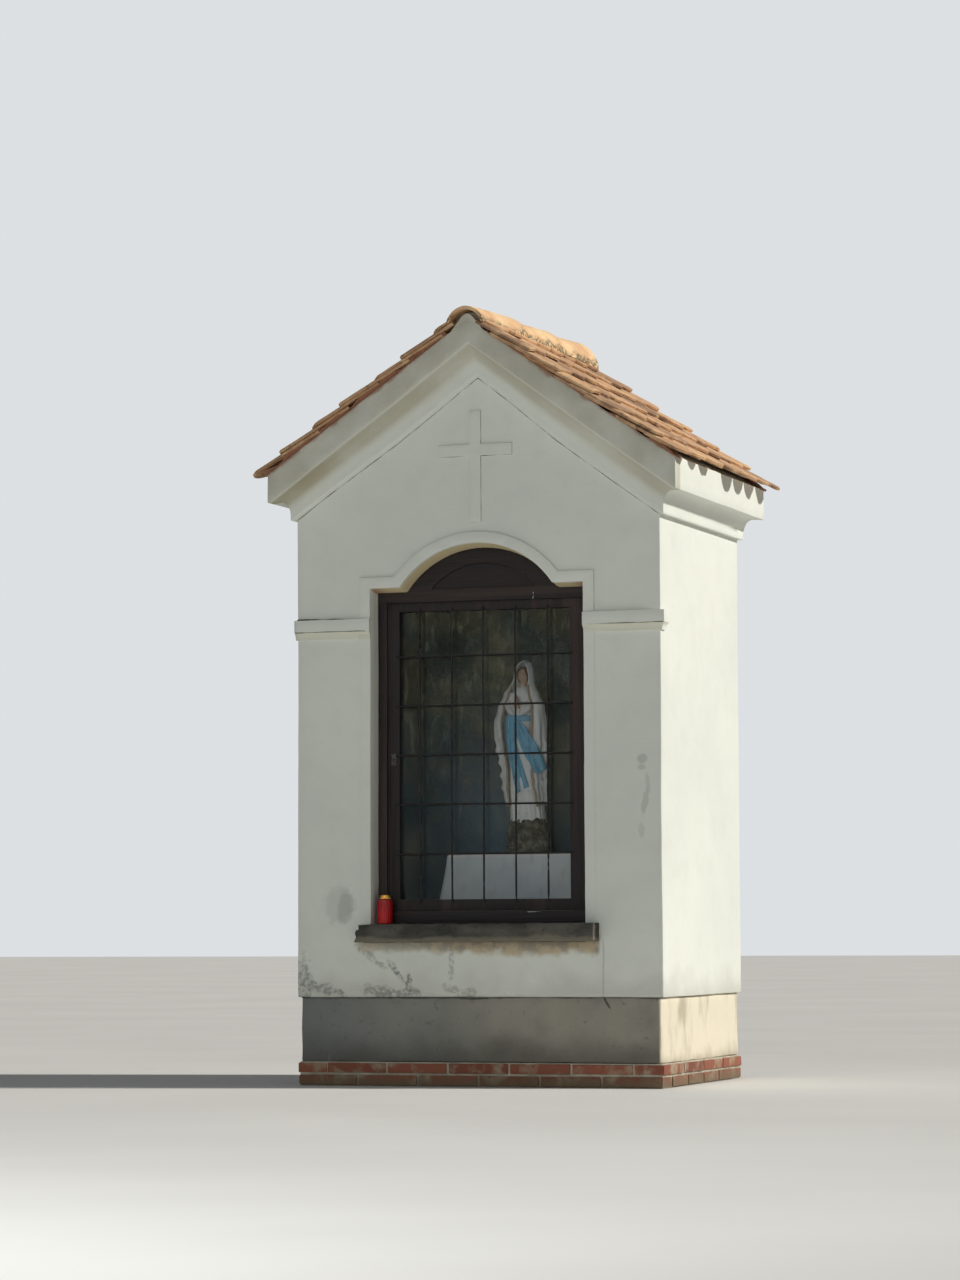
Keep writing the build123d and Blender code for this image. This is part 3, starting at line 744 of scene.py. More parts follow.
def board_material():
    """Rough-sawn softwood under the tiles."""
    s = Surface("roof boards", 0.85)
    grain = s.noise(90, 4, (1, 0.05, 1))
    s.colour = s.mix(grain.ramp(0.35, 0.7), (112, 90, 66), (156, 130, 98))
    s.bump(grain, 0.001)
    return s.finished()


def candle_material():
    """Red translucent plastic, brighter red at the foot with a painted glow."""
    s = Surface("red candle jar", 0.32, Subsurface_Weight=0.3, Coat_Weight=0.08)
    s.set("Specular IOR Level", 0.3)
    s.set("Subsurface Radius", (0.02, 0.004, 0.002))
    # Brighter red at the foot than at the top: a painted glow
    s.colour = s.mix(s.axes()[2].ramp(jar_lo.z, jar_hi.z), (214, 14, 20), (160, 10, 14))
    return s.finished((80, 3, 0.0004))


def gilt_material():
    """Thin gold-coloured tin."""
    s = Surface("gold lid", 0.32, Metallic=1.0)
    s.ground(90, 5, 0.4, 0.7, (206, 158, 78), (168, 122, 58))
    return s.finished((120, 3, 0.0004))


def lock_material():
    """Old steel plate, dulled."""
    s = Surface("lock steel", 0.5, Metallic=0.8)
    s.ground(120, 5, 0.45, 0.65, (74, 71, 66), (56, 47, 40))
    return s.finished((200, 3, 0.0004))


plaster = plaster_material()
niche_paint = niche_material()
cement = render_material()
brick = brick_material()
mortar = mortar_material()
dusty_mortar = painted("clay-stained mortar", (146, 100, 74), (104, 70, 54), 0.95, 0.003)
# Caked dirt and painted shade for the thin dark lines about the cross, the gable, the imposts and the plinth
dirt_and_shade = painted("caked dirt and painted shade", (82, 83, 76), (52, 53, 48), 0.95, 0.001)
steel = painted("bare steel", (190, 192, 190), (130, 130, 126), 0.45, 0.0002)
stone = stone_material()
clay = tile_material()
ridge_clay = ridge_material()
timber = timber_material("dark timber", (1, 1, 0.045))
timber_across = timber_material("dark timber across", (0.045, 1, 1))
iron = iron_material()
linen = cloth_material()
robe_paint = painted("painted robe", (242, 246, 246), (218, 220, 216))
skin_paint = painted("painted skin", (200, 168, 148), (174, 140, 120), 0.5, 0.0003)
hair_paint = painted("painted hair", (104, 74, 50), (72, 50, 34), 0.6)
blue_paint = painted("painted sash", (122, 184, 214), (82, 140, 176))
masonry = painted("altar wash", (206, 206, 200), (176, 174, 166), 0.9, 0.002)


# Walls

def plastered_walls():
    """Walls and gables as one skin, with the plaster's foot broken off the plinth in places."""
    nodes = ["front_gable", "front_pier_left", "front_pier_right", "front_apron"]
    nodes += ["back_wall", "side_wall_left", "side_wall_right"]
    bm = united(nodes)
    soften(bm, 0.005)
    gridded(bm, 0.045)
    foot = plinth_hi.z + 0.08

    def low(place, more=0.0):
        return place.y < front + 0.002 and place.z < foot + more

    cut(bm, 2, [foot], lambda place: low(place, 0.05))
    cut(bm, 0, spread(-half_width + 0.01, half_width - 0.01, 0.012), low)
    cut(bm, 2, spread(plinth_hi.z + 0.006, foot, 0.006), low)
    for v in bm.verts:
        p = v.co.copy()
        v.co = settled(p, 0.0009)
        if low(p):
            loss = 0.5 + 0.9 * bumpy(p.x * 9, 4.0, 1.0) + 0.45 * bumpy(p.x * 46, 2.0, 7.0)
            reach = 0.034 * max(0.0, loss) * (1 - clamp((p.x + 0.05) / 0.3, 0, 1)) + 0.002
            if p.z < plinth_hi.z + reach:
                v.co.y += 0.010 - 0.003 * noise.noise(p * 40)
        # The plaster under the arch and the shoulders falls a little towards the timber
        if abs(p.x) < 0.4405 and 1.9 < p.z < 2.12 and front - 0.001 < p.y < front + 0.2:
            v.co.z -= 0.013 * smooth(p.y, front, front + 0.07)
    piece = add_piece("plastered_walls", bm, plaster, nodes)
    piece.data.materials.append(niche_paint)
    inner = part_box("niche_floor")[1] + Vector((0.004, 0.004, 0))
    for face in piece.data.polygons:
        c = face.center
        if abs(c.x) < inner.x and abs(c.y) < inner.y and c.z > plinth_hi.z:
            face.material_index = 1


def cornice_shift(x, z):
    """How far the cornice's lower mouldings have been run out of true, along X and Z."""
    share = smooth(apex - z - abs(x) * tan(pitch), 0.05, 0.24)
    near = smooth(abs(x), 0.4, 0.0)
    return share * 0.012 * near, share * (0.020 * near + 0.030 * smooth(-x, 0.1, half_width))


def gable_line(x):
    """A place (x, z) just under the foot of the rake moulding."""
    below_apex, slope = 0.2425, 0.7238
    z = apex - below_apex - slope * abs(x)
    shift = cornice_shift(x, z)
    return x + shift[0], z + shift[1]


def plaster_piece(name, *nodes, step=0.03):
    """A moulded or raised piece of plaster on the walls."""
    return weathered(name, nodes, plaster, 0.0025, step)


def dressings():
    """The cornice, run by hand and out of true, the imposts, the opening's border and the cross."""
    runs = ["eaves_cornice_left", "eaves_cornice_right"]
    runs += [f"rake_cornice_{end}_{side}" for end in ("front", "back") for side in ("left", "right")]
    for v in plaster_piece("moulded_cornice", *runs, step=0.05).data.vertices:
        shift = cornice_shift(v.co.x, v.co.z)
        v.co.x += shift[0]
        v.co.z += shift[1]
    # The left impost stops at the corner
    corner = -half_width - 0.004
    for impost in ("impost_left", "impost_right"):
        for v in plaster_piece(impost + "_band", impost).data.vertices:
            v.co.x = max(v.co.x, corner + 0.1 * (v.co.x - corner))
    # Below the imposts the border dies into the piers
    for v in plaster_piece("raised_border", "opening_border").data.vertices:
        flat = smooth(v.co.z, 1.79, 1.74) * (0.8 if v.co.x > 0 else 0.45)
        v.co.y += flat * max(0.0, front - v.co.y)
    plaster_piece("raised_cross", "gable_cross")


def broken_line(bm, ends, y, wide, seed):
    """A thin broken line on the face at depth y, from one (x, z) place to another."""
    a, b = (Vector((x, y, z)) for x, z in ends)
    count = max(2, round((b - a).length / 0.009))
    aside = (b - a).normalized().cross(Vector((0, 1, 0)))
    rows = []
    for k in range(count + 1):
        way = a.lerp(b, k / count)
        grow = 0.55 + 1.1 * noise.noise(way * 16 + Vector((0, seed, 0)))
        half = wide * max(0.12, grow + 0.4 * noise.noise(way * 60 + Vector((0, seed, 0))))
        middle = way + aside * wide * 0.5 * noise.noise(way * 30 + Vector((seed, 0, 0)))
        rows.append([settled(middle + aside * out * half, 0.0009) for out in (-1, 1)])
        for point in rows[-1]:
            point.y -= 0.0009
    skin(bm, rows, closed=False)


def grime_and_painted_light():
    """Grimy lines along the cross, the gable line, the imposts and the top of the plinth, partly painted
    shade: under the cross's arms, on its left edges, under the rake moulding and in the gap over the plinth.
    """
    bm = bmesh.new()
    lo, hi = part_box("gable_cross")
    bar, head_share = 0.023, 0.3021
    arm_hi = hi.z - head_share * (hi.z - lo.z)
    arm_lo = arm_hi - 2 * bar
    left = [(-bar, lo.z), (-bar, arm_lo), (lo.x, arm_lo), (lo.x, arm_hi), (-bar, arm_hi), (-bar, hi.z)]
    outline = left + [(-x, z) for x, z in left[::-1]]
    # The line is widest under the arms and on the left edges, where it is painted shade as well as dirt
    for k, ends in enumerate(zip(outline, outline[1:] + outline[:1])):
        under = ends[0][1] == arm_lo == ends[1][1]
        leftward = max(ends[0][0], ends[1][0]) < 0
        broken_line(bm, ends, front, 0.0018 if under else 0.0013 if leftward else 0.0006, 3.0 * k)
    for side in (-1, 1):
        places = [gable_line(side * 0.745 * k / 12) for k in range(13)]
        for ends in zip(places, places[1:]):
            broken_line(bm, ends, front, 0.0011, 60.0)
    # Level lines: left end, right end, height, rise to the second end, depth, width and seed
    low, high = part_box("impost_left")
    corner, moulding_bounce_light, shelf = half_width + 0.002, low.z + 0.0285, front - 0.0205
    top, face = plinth_hi.z - 0.003, plinth_lo.y - 0.003
    for start, end, z, rise, y, wide, seed in (
        (-0.455, -corner, moulding_bounce_light, 0, shelf, 0.0014, 39.0),
        (-0.5, -corner, high.z + 0.001, 0.002, front, 0.0034, 45.0),
        (-0.63, -corner, high.z + 0.002, 0.002, front, 0.0045, 48.0),
        (0.455, half_width + 0.016, moulding_bounce_light, 0, shelf, 0.0014, 41.0),
        (-0.50, 0.08, top, 0, face, 0.0048, 50.0),
        (-0.735, 0.735, top + 0.001, 0, face, 0.0024, 55.0),
    ):
        broken_line(bm, ((start, z), (end, z + rise)), y, wide, seed)
    add_piece("grime_and_shade_lines", bm, dirt_and_shade)


def stone_sill():
    """The sill, with worn arrises and a broken left end."""
    bm = node_bmesh("window_sill")
    soften(bm, 0.006, 3)
    gridded(bm, 0.012)
    for v in bm.verts:
        p = v.co.copy()
        out = clamp((front - p.y) / 0.02, 0.0, 1.0)
        v.co = settled(p)
        v.co += noise.noise_vector(p * 24) * 0.003 * out
        v.co += noise.noise_vector(p * 70) * 0.0012 * out
        broken = max(0.0, 1 - (p.x - sill_lo.x) / 0.085) * out
        if broken:
            v.co.x += 0.016 * broken * (0.6 + noise.noise(p * 30))
            v.co.z -= 0.040 * broken * max(0.0, (p.z - sill_lo.z) / 0.07 - 0.3)
            v.co.y += 0.014 * broken
            v.co += noise.noise_vector(p * 42) * 0.006 * broken
    add_piece("stone_sill", bm, stone, ["window_sill"])


def brick_block(bm, layer, lo, hi, worn):
    """One worn brick between two corners."""
    made = block(bm, lo, hi)
    edges = list({e for v in made for e in v.link_edges})
    bevel = bevelled(bm, edges, 0.005, 2, 0.6)
    verts = set(bevel["verts"]) | {v for v in made if v.is_valid}
    faces = {f for v in verts for f in v.link_faces}
    verts = {v for f in faces for v in f.verts}
    tone = (rng.random(), rng.random(), 0, 1)
    for v in verts:
        v.co += noise.noise_vector(v.co * 35 + Vector((worn, 0, 0))) * 0.0022
        v[layer] = tone


def brick_footing():
    """Two courses of brick round the foot, in half bond, before a recessed core of mortar."""
    brick_courses = 2
    height = footing_top / brick_courses
    joint, depth, inset = 0.009, 0.12, 0.007
    bm, layer = toned_bmesh()
    for course in range(brick_courses):
        z = (course * height + joint / 2, (course + 1) * height - joint / 2)
        turned_course = course % 2
        # Runs along X reach the corners on one course and stop short of them on the next
        runs = (
            (0, half_width - depth * turned_course, 6 - turned_course, -front, 9 * course),
            (1, -front - depth * (1 - turned_course), 4, half_width, 5 * course + 40),
        )
        for side in (-1, 1):
            for along, end, count, face, seed in runs:
                step = 2 * end / count
                thick = sorted((side * face, side * (face - depth)))
                for k in range(count):
                    long = (k * step - end + joint / 2, (k + 1) * step - end - joint / 2)
                    spans = (thick, long, z) if along else (long, thick, z)
                    lo, hi = zip(*spans)
                    brick_block(bm, layer, lo, hi, k + seed)
    for v in bm.verts:
        v.co.z = max(0.0, v.co.z)
        v.co.x = clamp(v.co.x, -half_width, half_width)
        v.co.y = clamp(v.co.y, front, -front)
    add_piece("footing_bricks", bm, brick)
    core = bmesh.new()
    corner = Vector((half_width - inset, -front - inset, footing_top))
    block(core, (-corner.x, -corner.y, 0), corner)
    soften(core, 0.003)
    gridded(core, 0.02)
    for v in core.verts:
        inside = min(half_width - abs(v.co.x), -front - abs(v.co.y))
        if inside < 0.03 and 0.001 < v.co.z < footing_top - 0.001:
            v.co += noise.noise_vector(v.co * 40) * 0.0025
    add_piece("footing_mortar", core, mortar, ["brick_footing"])


plastered_walls()
dressings()
grime_and_painted_light()
weathered("rendered_plinth", ["plinth"], cement, 0.009, 0.03, 0.003)
stone_sill()
brick_footing()
repaint(niche_paint, "niche_floor", "niche_vault")


# Roof

slope_top = Vector((0, 0, apex))
half_length = tiles_hi.y
gap = tiles_lo.x
slope_length = 0.9 / cos(pitch)
courses = 7
gauge = slope_length / courses
tile_long = 0.345
tile_thick = 0.014
tilt = atan2(tile_thick, gauge)
tile_pitch = 2 * half_length / 8
ACROSS = (-1, -0.96, -0.8, -0.5, -0.2, 0.2, 0.5, 0.8, 0.96, 1)
ALONG = (0, 0.03, 0.2, 0.4, 0.6, 0.8, 0.93, 0.985, 1)


def on_slope(s, n):
    """A place in the ridge's middle plane, s down the right slope and n out of it."""
    down = Vector((cos(pitch), 0, -sin(pitch)))
    outward = Vector((sin(pitch), 0, cos(pitch)))
    return slope_top + down * s + outward * n


def roof_tile(bm, layer, tail, y, width, length, lift, tones, side, short, verge):
    """One plain tile with a rounded tail, lying up the slope from its tail."""
    scallop = 0.060 * (width / tile_pitch) ** 2
    skew = rng.uniform(-0.009, 0.009)
    slip = rng.uniform(-0.012, 0.0)
    rise = rng.uniform(0.0, 0.004)
    tip = rng.uniform(0.0, 0.009) * verge
    camber = rng.uniform(0.001, 0.004)
    chip = rng.choice((0, 0, 0, 1, -1)) * rng.uniform(0.3, 1)
    seed = Vector((rng.uniform(0, 50), rng.uniform(0, 50), 0))

    def place(t, u, upper):
        """A point of the tile: t runs from the tail up to the head, u across."""
        # The tail is an arc across the tile
        start = scallop * (1 - sqrt(1 - 0.92 * u * u)) / 0.717
        start += (0.014 if chip * u > 0.4 else 0) * abs(chip)
        start += short * (1 + 0.3 * bumpy(u * 3, 1.0, 4.0, seed))
        along = start + (length - start) * t
        edge = max(0.0, (abs(u) - 0.9) / 0.1, (0.03 - t) / 0.03)
        z = tile_thick * (1 - 0.22 * edge) if upper else tile_thick * 0.12 * edge
        z += camber * (1 - u * u) + rise + tip * max(0.0, u if verge > 0 else -u)
        z += 0.0012 * bumpy(u * 3, along * 14, 3.0 if upper else 9.0, seed)
        point = on_slope(tail + slip - along * cos(tilt), lift - along * sin(tilt) + z)
        across = y + u * width / 2 * (1 - 0.012 * edge) + skew * along / length
        across += 0.0025 * bumpy(along * 20, u, 5.0, seed)
        point.y = clamp(across, -half_length, half_length)
        point.x = side * min(point.x, tiles_hi.x - 0.001)
        return point

    faces = [[[place(t, u, upper) for u in ACROSS] for t in ALONG] for upper in (True, False)]
    for v in shell(bm, *faces):
        v[layer] = (*tones, 0, 1)


def tiled_slope(side, node):
    """Seven courses of plain tiles in half bond, over a short course that fills them at the eaves."""
    bm, layer = toned_bmesh()
    filler = slope_length - 0.072
    rows = [(filler, tile_long - gauge - 0.05, tile_long * sin(tilt) - tile_thick, 1)]
    for course in range(courses):
        tail = slope_length - course * gauge
        top = gap / cos(pitch) - 0.02
        rows.append((tail, min(tile_long, tail - top), tile_long * sin(tilt), course % 2))
    for tail, length, lift, shifted in rows:
        y = -half_length
        share = 0.5 if shifted else 1.0
        while y < half_length - 0.01:
            width = min(share, (half_length - y) / tile_pitch) * tile_pitch
            first, last = y < 0.01 - half_length, y + width > half_length - 0.01
            # Verge tiles end unevenly, and the front half of the eaves is set back, one tile broken
            pull = rng.uniform(0.0, 0.016) if first or last else 0.0
            middle = y + width / 2
            short = 0.0
            if tail == slope_length and side > 0:
                short = 0.026 * smooth(middle, 0.02, -0.06)
                if abs(middle + 0.08) < tile_pitch / 2:
                    short = 0.062
            place = middle + pull / 2 * (1 if first else -1)
            tones = (rng.random(), rng.random())
            verge = -1 if first else 1 if last else 0
            wide = width - 0.003 - pull
            roof_tile(bm, layer, tail, place, wide, length, lift, tones, side, short, verge)
            y += width
            share = 1.0
    add_piece(node + "_courses", bm, clay, [node], 40)


def verge_bedding():
    """Crumbling mortar under the verge tiles, front and back."""
    bm = bmesh.new()
    for side in (1, -1):
        for end in (-1, 1):
            rows = []
            for k in range(121):
                s = 0.10 + (slope_length - 0.17) * k / 120
                deep = 0.012 * smooth(bumpy(s * 11, end * 4.0, side), -0.45, 0.25)
                back = 0.006 + 0.012 * (0.5 + bumpy(s * 17, end * 9.0, side + 5.0))
                row = []
                for inward, n in ((back, 0.0), (back * 0.8, deep), (0.09, deep), (0.09, 0.0)):
                    point = on_slope(s, n)
                    row.append(Vector((point.x * side, end * (half_length - inward), point.z)))
                rows.append(row)
            capped(bm, rows)
    add_piece("verge_bedding", bm, dusty_mortar)


# Ridge tiles: small and large radius of each, wide end over the next narrow end
SHELLS = ((0.080, 0.104), (0.089, 0.112), (0.097, 0.1235))
shell_lap = 0.06
shell_thick = 0.014
shell_axis = apex - 0.031
shell_long = (2 * half_length + (len(SHELLS) - 1) * shell_lap) / len(SHELLS)
bed_start = -half_length + 0.085


def ridge_shells():
    """Three tapered half-round tiles."""
    bm = bmesh.new()
    last = 12
    for k, (small, large) in enumerate(SHELLS):
        seed = Vector((k * 7.3, 2.1, 4.4))

        def place(step, column, outer):
            """A point of the tile's outer or inner face."""
            t = step / last
            angle = radians(80 + 9 * t) * (column / 8 - 1)
            way = Vector((sin(angle), 0, cos(angle)))
            y = -half_length + k * (shell_long - shell_lap) + shell_long * t
            rough = 0.0026 * noise.noise(way * 2.2 + seed + Vector((0, y * 9, 0)))
            inward = (0.0 if 0 < step < last else 0.002) if outer else shell_thick
            point = Vector((0, y, shell_axis)) + way * (small + (large - small) * t - inward + rough)
            if step in (0, last):
                point.y += 0.003 * noise.noise(way * 5 + seed) * (-1 if step else 1)
            point.y = clamp(point.y, -half_length, half_length)
            return point

        faces = [grid(last + 1, 17, lambda r, c: place(r, c, outer)) for outer in (True, False)]
        shell(bm, *faces)
    add_piece("ridge_shells", bm, ridge_clay, ["ridge_tiles"], 40)


def ridge_bedding():
    """Mortar under the shells, set back from the hollow front end."""
    bm = bmesh.new()
    rows = []
    steps = 70
    for k in range(steps + 1):
        y = bed_start + (half_length - 0.02 - bed_start) * k / steps
        tile = min(len(SHELLS) - 1, int((y + half_length) / (shell_long - shell_lap)))
        small, large = SHELLS[tile]
        t = min(1.0, (y + half_length - tile * (shell_long - shell_lap)) / shell_long)
        reach = small + (large - small) * t - shell_thick
        row = []
        # Up one flank, over the top under the shell, and down the other
        for side in (-1, 1):
            lump = 0.014 * (1 + bumpy(y * 23, side * 3.0, 1.0))
            flank = []
            for part in range(5):
                x = reach + lump - part * (reach * 0.22)
                z_tile = apex + 0.040 - abs(x) * tan(pitch)
                z_arch = shell_axis + sqrt(max(0.0, reach * reach - min(x, reach) ** 2))
                z = clamp(z_arch, z_tile - 0.012, z_tile + 0.03) if part else z_tile - 0.016
                flank.append(Vector((side * x, y, z)))
            row += flank if side < 0 else flank[::-1]
        right, left = (
            Vector((side * gap * 0.98, y, apex - gap * tan(pitch) + 0.002)) for side in (1, -1)
        )
        rows.append(row + [right, Vector((0, y, apex + 0.0005)), left])
    capped(bm, rows)
    for v in bm.verts:
        v.co += noise.noise_vector(v.co * 38) * 0.0035
        v.co.y = min(half_length - 0.004, v.co.y)
    add_piece("ridge_bedding", bm, mortar, ["ridge_mortar"])


def gable_point():
    """The gable's plastered point under the first shell."""
    outline = ((0.066, -0.046), (0.044, -0.016), (0.020, 0.010), (0.006, 0.020))
    profile = [(-x, z) for x, z in outline] + list(outline[::-1])
    profile += [(0.064, -0.052), (0, -0.004), (-0.064, -0.052)]
    bm = bmesh.new()
    rows = [
        [Vector((x, y, apex + z)) + noise.noise_vector(Vector((x, y, z)) * 60) * 0.002 for x, z in profile]
        for y in (front - 0.0905, -half_length + 0.05, bed_start + 0.01)
    ]
    capped(bm, rows)
    add_piece("gable_point", bm, plaster)


tiled_slope(1, "roof_tiles_right")
tiled_slope(-1, "roof_tiles_left")
verge_bedding()
ridge_shells()
ridge_bedding()
gable_point()
repaint(board_material(), "roof_boards_left", "roof_boards_right")


# Window

def iron_grille():
    """Bars crossing in one plane, drawn by hand and a little out of true."""
    lo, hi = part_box("grille")
    middle = (lo.y + hi.y) / 2
    radius = (hi.y - lo.y) / 2 - 0.0006
    lap = 0.012

    def bars(low, high, edge):
        """Five bars between two limits, the outer ones an edge's width inside."""
        return [low + edge + (high - low - 2 * edge) * k / 4 for k in range(5)]

    xs = bars(lo.x + lap, hi.x - lap, 0.088)
    zs = bars(lo.z + lap, hi.z - lap, 0.177)
    bm = bmesh.new()
    for k, x in enumerate(xs):
        points = []
        for step in range(41):
            z = lo.z + (hi.z - lo.z) * step / 40
            points.append(settled(Vector((x + 0.0022 * bumpy(k * 5.0, z * 2.2, 1.0), middle, z))))
        tube(bm, points, lambda t: radius)
    for k, z in enumerate(zs):
        points = []
        for step in range(25):
            x = lo.x + (hi.x - lo.x) * step / 24
            points.append(settled(Vector((x, middle, z + 0.0022 * bumpy(x * 2.2, k * 5.0, 8.0)))))
        tube(bm, points, lambda t: radius)
    for x in xs:
        for z in zs:
            made = bmesh.ops.create_icosphere(bm, subdivisions=2, radius=radius * 1.35)["verts"]
            for v in made:
                v.co = Vector((v.co.x, v.co.y * 0.74, v.co.z)) + settled(Vector((x, middle, z)))
    add_piece("grille_bars", bm, iron, ["grille"])


def small_marks():
    """A wire hook on the head, and a rubbed place on the frame's bottom rail."""
    bm = bmesh.new()
    way = ((0.2095, 1.919), (0.2100, 1.912), (0.2098, 1.904), (0.2092, 1.897))
    way += ((0.2078, 1.8935), (0.2062, 1.895))
    tube(bm, [Vector((x, front + 0.077, z)) for x, z in way], lambda t: 0.0014)
    broken_line(bm, ((0.180, 0.6745), (0.237, 0.6755)), rail_face - 0.0004, 0.0022, 70.0)
    add_piece("small_marks", bm, steel)


for name, node, wood, bevel, step, grain in (
    ("jamb_left", "frame_jamb_left", timber, 0.002, 0.05, 0.0003),
    ("jamb_right", "frame_jamb_right", timber, 0.002, 0.05, 0.0003),
    ("bottom_rail", "frame_bottom_rail", timber_across, 0.003, 0.05, 0.0004),
    ("arched_head", "frame_head", timber_across, 0.002, 0.04, 0.0003),
    ("glazed_leaf", "leaf_frame", timber, 0.002, 0.05, 0.0003),
):
    weathered(name, [node], wood, bevel, step, grain)
iron_grille()
small_marks()
weathered("lock_face", ["lock_plate"], lock_material(), 0.0004, 0, 0.0)
repaint(glass_material(), "leaf_glass")


# Altar, figure and candle

def altar_cloth():
    """A fitted linen over the top, front and ends, hanging in shallow waves to a sewn hem."""
    lo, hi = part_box("altar_cloth")
    inset = 0.0022
    half = hi.x - inset
    y_front, y_back = lo.y + inset, hi.y - 0.001
    depth = y_back - y_front
    drop = hi.z - lo.z - 0.001
    corner = 0.012
    # The edge line round the top, from the back of one end to the back of the other
    line = [(-half, y_back - depth * k / 16) for k in range(16)]
    for a in (pi * k / 12 for k in range(1, 6)):
        line.append((-half + corner * (1 - cos(a)), y_front + corner * (1 - sin(a))))
    line += [(-half + corner + (2 * half - 2 * corner) * k / 28, y_front) for k in range(29)]
    line += [(-x, y) for x, y in line[20::-1]]
    walk = [0.0]
    for (ax, ay), (bx, by) in zip(line, line[1:]):
        walk.append(walk[-1] + hypot(bx - ax, by - ay))

    def place(step, k):
        t = step / 18
        x, y = line[k]
        bend = 0.006 * (1 - min(1, t * drop / 0.006)) ** 2
        out = sin(walk[k] * 38 + 0.8 * sin(walk[k] * 9)) * 0.0016 * t - bend
        nx = (x / half) ** 8 * (1 if x > 0 else -1)
        ny = -1.0 if y < y_front + 0.02 else 0.0
        size = hypot(nx, ny) or 1
        # The left end hangs outwards
        left = 0.065 * t**1.3 * max(0.0, -x / half) ** 6
        y = min(y + ny / size * out, y_back)
        return Vector((x + nx / size * out - left, y, hi.z - inset - t * drop))

    bm = bmesh.new()
    hung = skin(bm, grid(19, len(line), place), closed=False)
    # The top is one flat face inside the edge line
    bm.faces.new(hung[0])
    piece = add_piece("altar_linen", bm, linen, ["altar_cloth"], 50)
    thicken(piece, 0.0014)


# The figure stands on the cloth: heights above its feet, widths either side of its axis
foot_z = base_hi.z
axis_y = (base_lo.y + base_hi.y) / 2


def sway(height):
    """How far the figure stands out of the middle: right at the feet, left at the hips, none at the head."""
    table = ((0, 0.012), (0.2, -0.004), (0.4, -0.020), (0.5, -0.014), (0.57, -0.003), (0.64, 0.0))
    return blend_table(table, height)[0]


def risen(height):
    """The chest and head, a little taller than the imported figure's."""
    return height + 0.022 * smooth(height, 0.42, 0.53)


def turned(height, angle, across, deep):
    """A point on an oval round the figure's axis; angle 0 faces the front."""
    across = across * sin(angle) + sway(height)
    return Vector((across, axis_y - deep * cos(angle), foot_z + risen(height)))


def ball(polar, angle):
    """A direction from a polar angle down from the top and one round from the front."""
    return Vector((sin(polar) * sin(angle), -sin(polar) * cos(angle), cos(polar)))


def figure_base():
    """A rocky mound of plaster."""
    wide, deep = (base_hi.x - base_lo.x) / 2, (base_hi.y - base_lo.y) / 2
    height = base_hi.z - base_lo.z
    last = 14

    def place(step, angle):
        t = step / last
        ledge = 1 - 0.2 * t - 0.07 * (sin(t * 9 + 2 * sin(angle * 2)) * 0.5 + 0.5)
        if step == last:
            ledge -= 0.05
        p = turned(t * height - height, angle, wide * ledge, deep * ledge)
        if step:
            p += noise.noise_vector(p * 26) * 0.007
            p += noise.noise_vector(p * 70) * 0.003
        p.z = clamp(p.z, base_lo.z, base_hi.z + 0.002)
        # Lumps stand up round the hem
        if step > last - 2:
            lump = 0.5 + 0.9 * bumpy(angle * 3.5, 3.0, 1.0)
            p.z += 0.024 * max(0.0, lump) * (1 if step == last else 0.5)
        p.y = clamp(p.y, axis_y - deep, axis_y + deep)
        return p

    rows = rings(last + 1, 56, place)
    middle = Vector((sway(0), axis_y, base_hi.z + 0.004))
    rows.append([middle + (p - middle) * 0.72 for p in rows[-1]])
    for p in rows[-1]:
        p.z = middle.z
    bm = bmesh.new()
    capped(bm, rows)
    add_piece("figure_rock", bm, rock_material(), ["statue_base"])


def figure_robe():
    """Long tunic: folds deepen from the waist to the hem and break on the rock."""
    # Height, half width and half depth
    table = (
        (0.0, 0.0700, 0.0540),
        (0.06, 0.0680, 0.0520),
        (0.275, 0.0600, 0.0460),
        (0.416, 0.0500, 0.0385),
        (0.460, 0.0580, 0.0405),
        (0.49, 0.0540, 0.0360),
        (0.515, 0.0330, 0.0270),
        (0.53, 0.0150, 0.0150),
    )

    def place(step, angle):
        height = 0.53 * step / 60
        across, deep = blend_table(table, height)
        wave = abs(sin(angle * 8 + 0.7 * sin(3 * angle) + height * 1.4)) - 0.5
        wave += 0.5 * sin(angle * 21 + height * 5)
        swell = 1 + 0.075 * max(0.0, 1 - height / 0.36) ** 0.8 * wave
        swell += 0.03 * bell(height, 0.416, 0.02) * sin(angle * 34)
        drape = 0.05 * bell(height, 0.45, 0.05) * sin(angle * 5 + height * 60)
        p = turned(height, angle, across * swell, deep * swell)
        away = p - Vector((sway(height), axis_y, p.z))
        return p + away * drape * (0.5 if abs(sin(angle)) < 0.8 else 0)

    bm = bmesh.new()
    capped(bm, rings(61, 120, place))
    add_piece("figure_robe", bm, robe_paint, ["statue_robe"], 60)


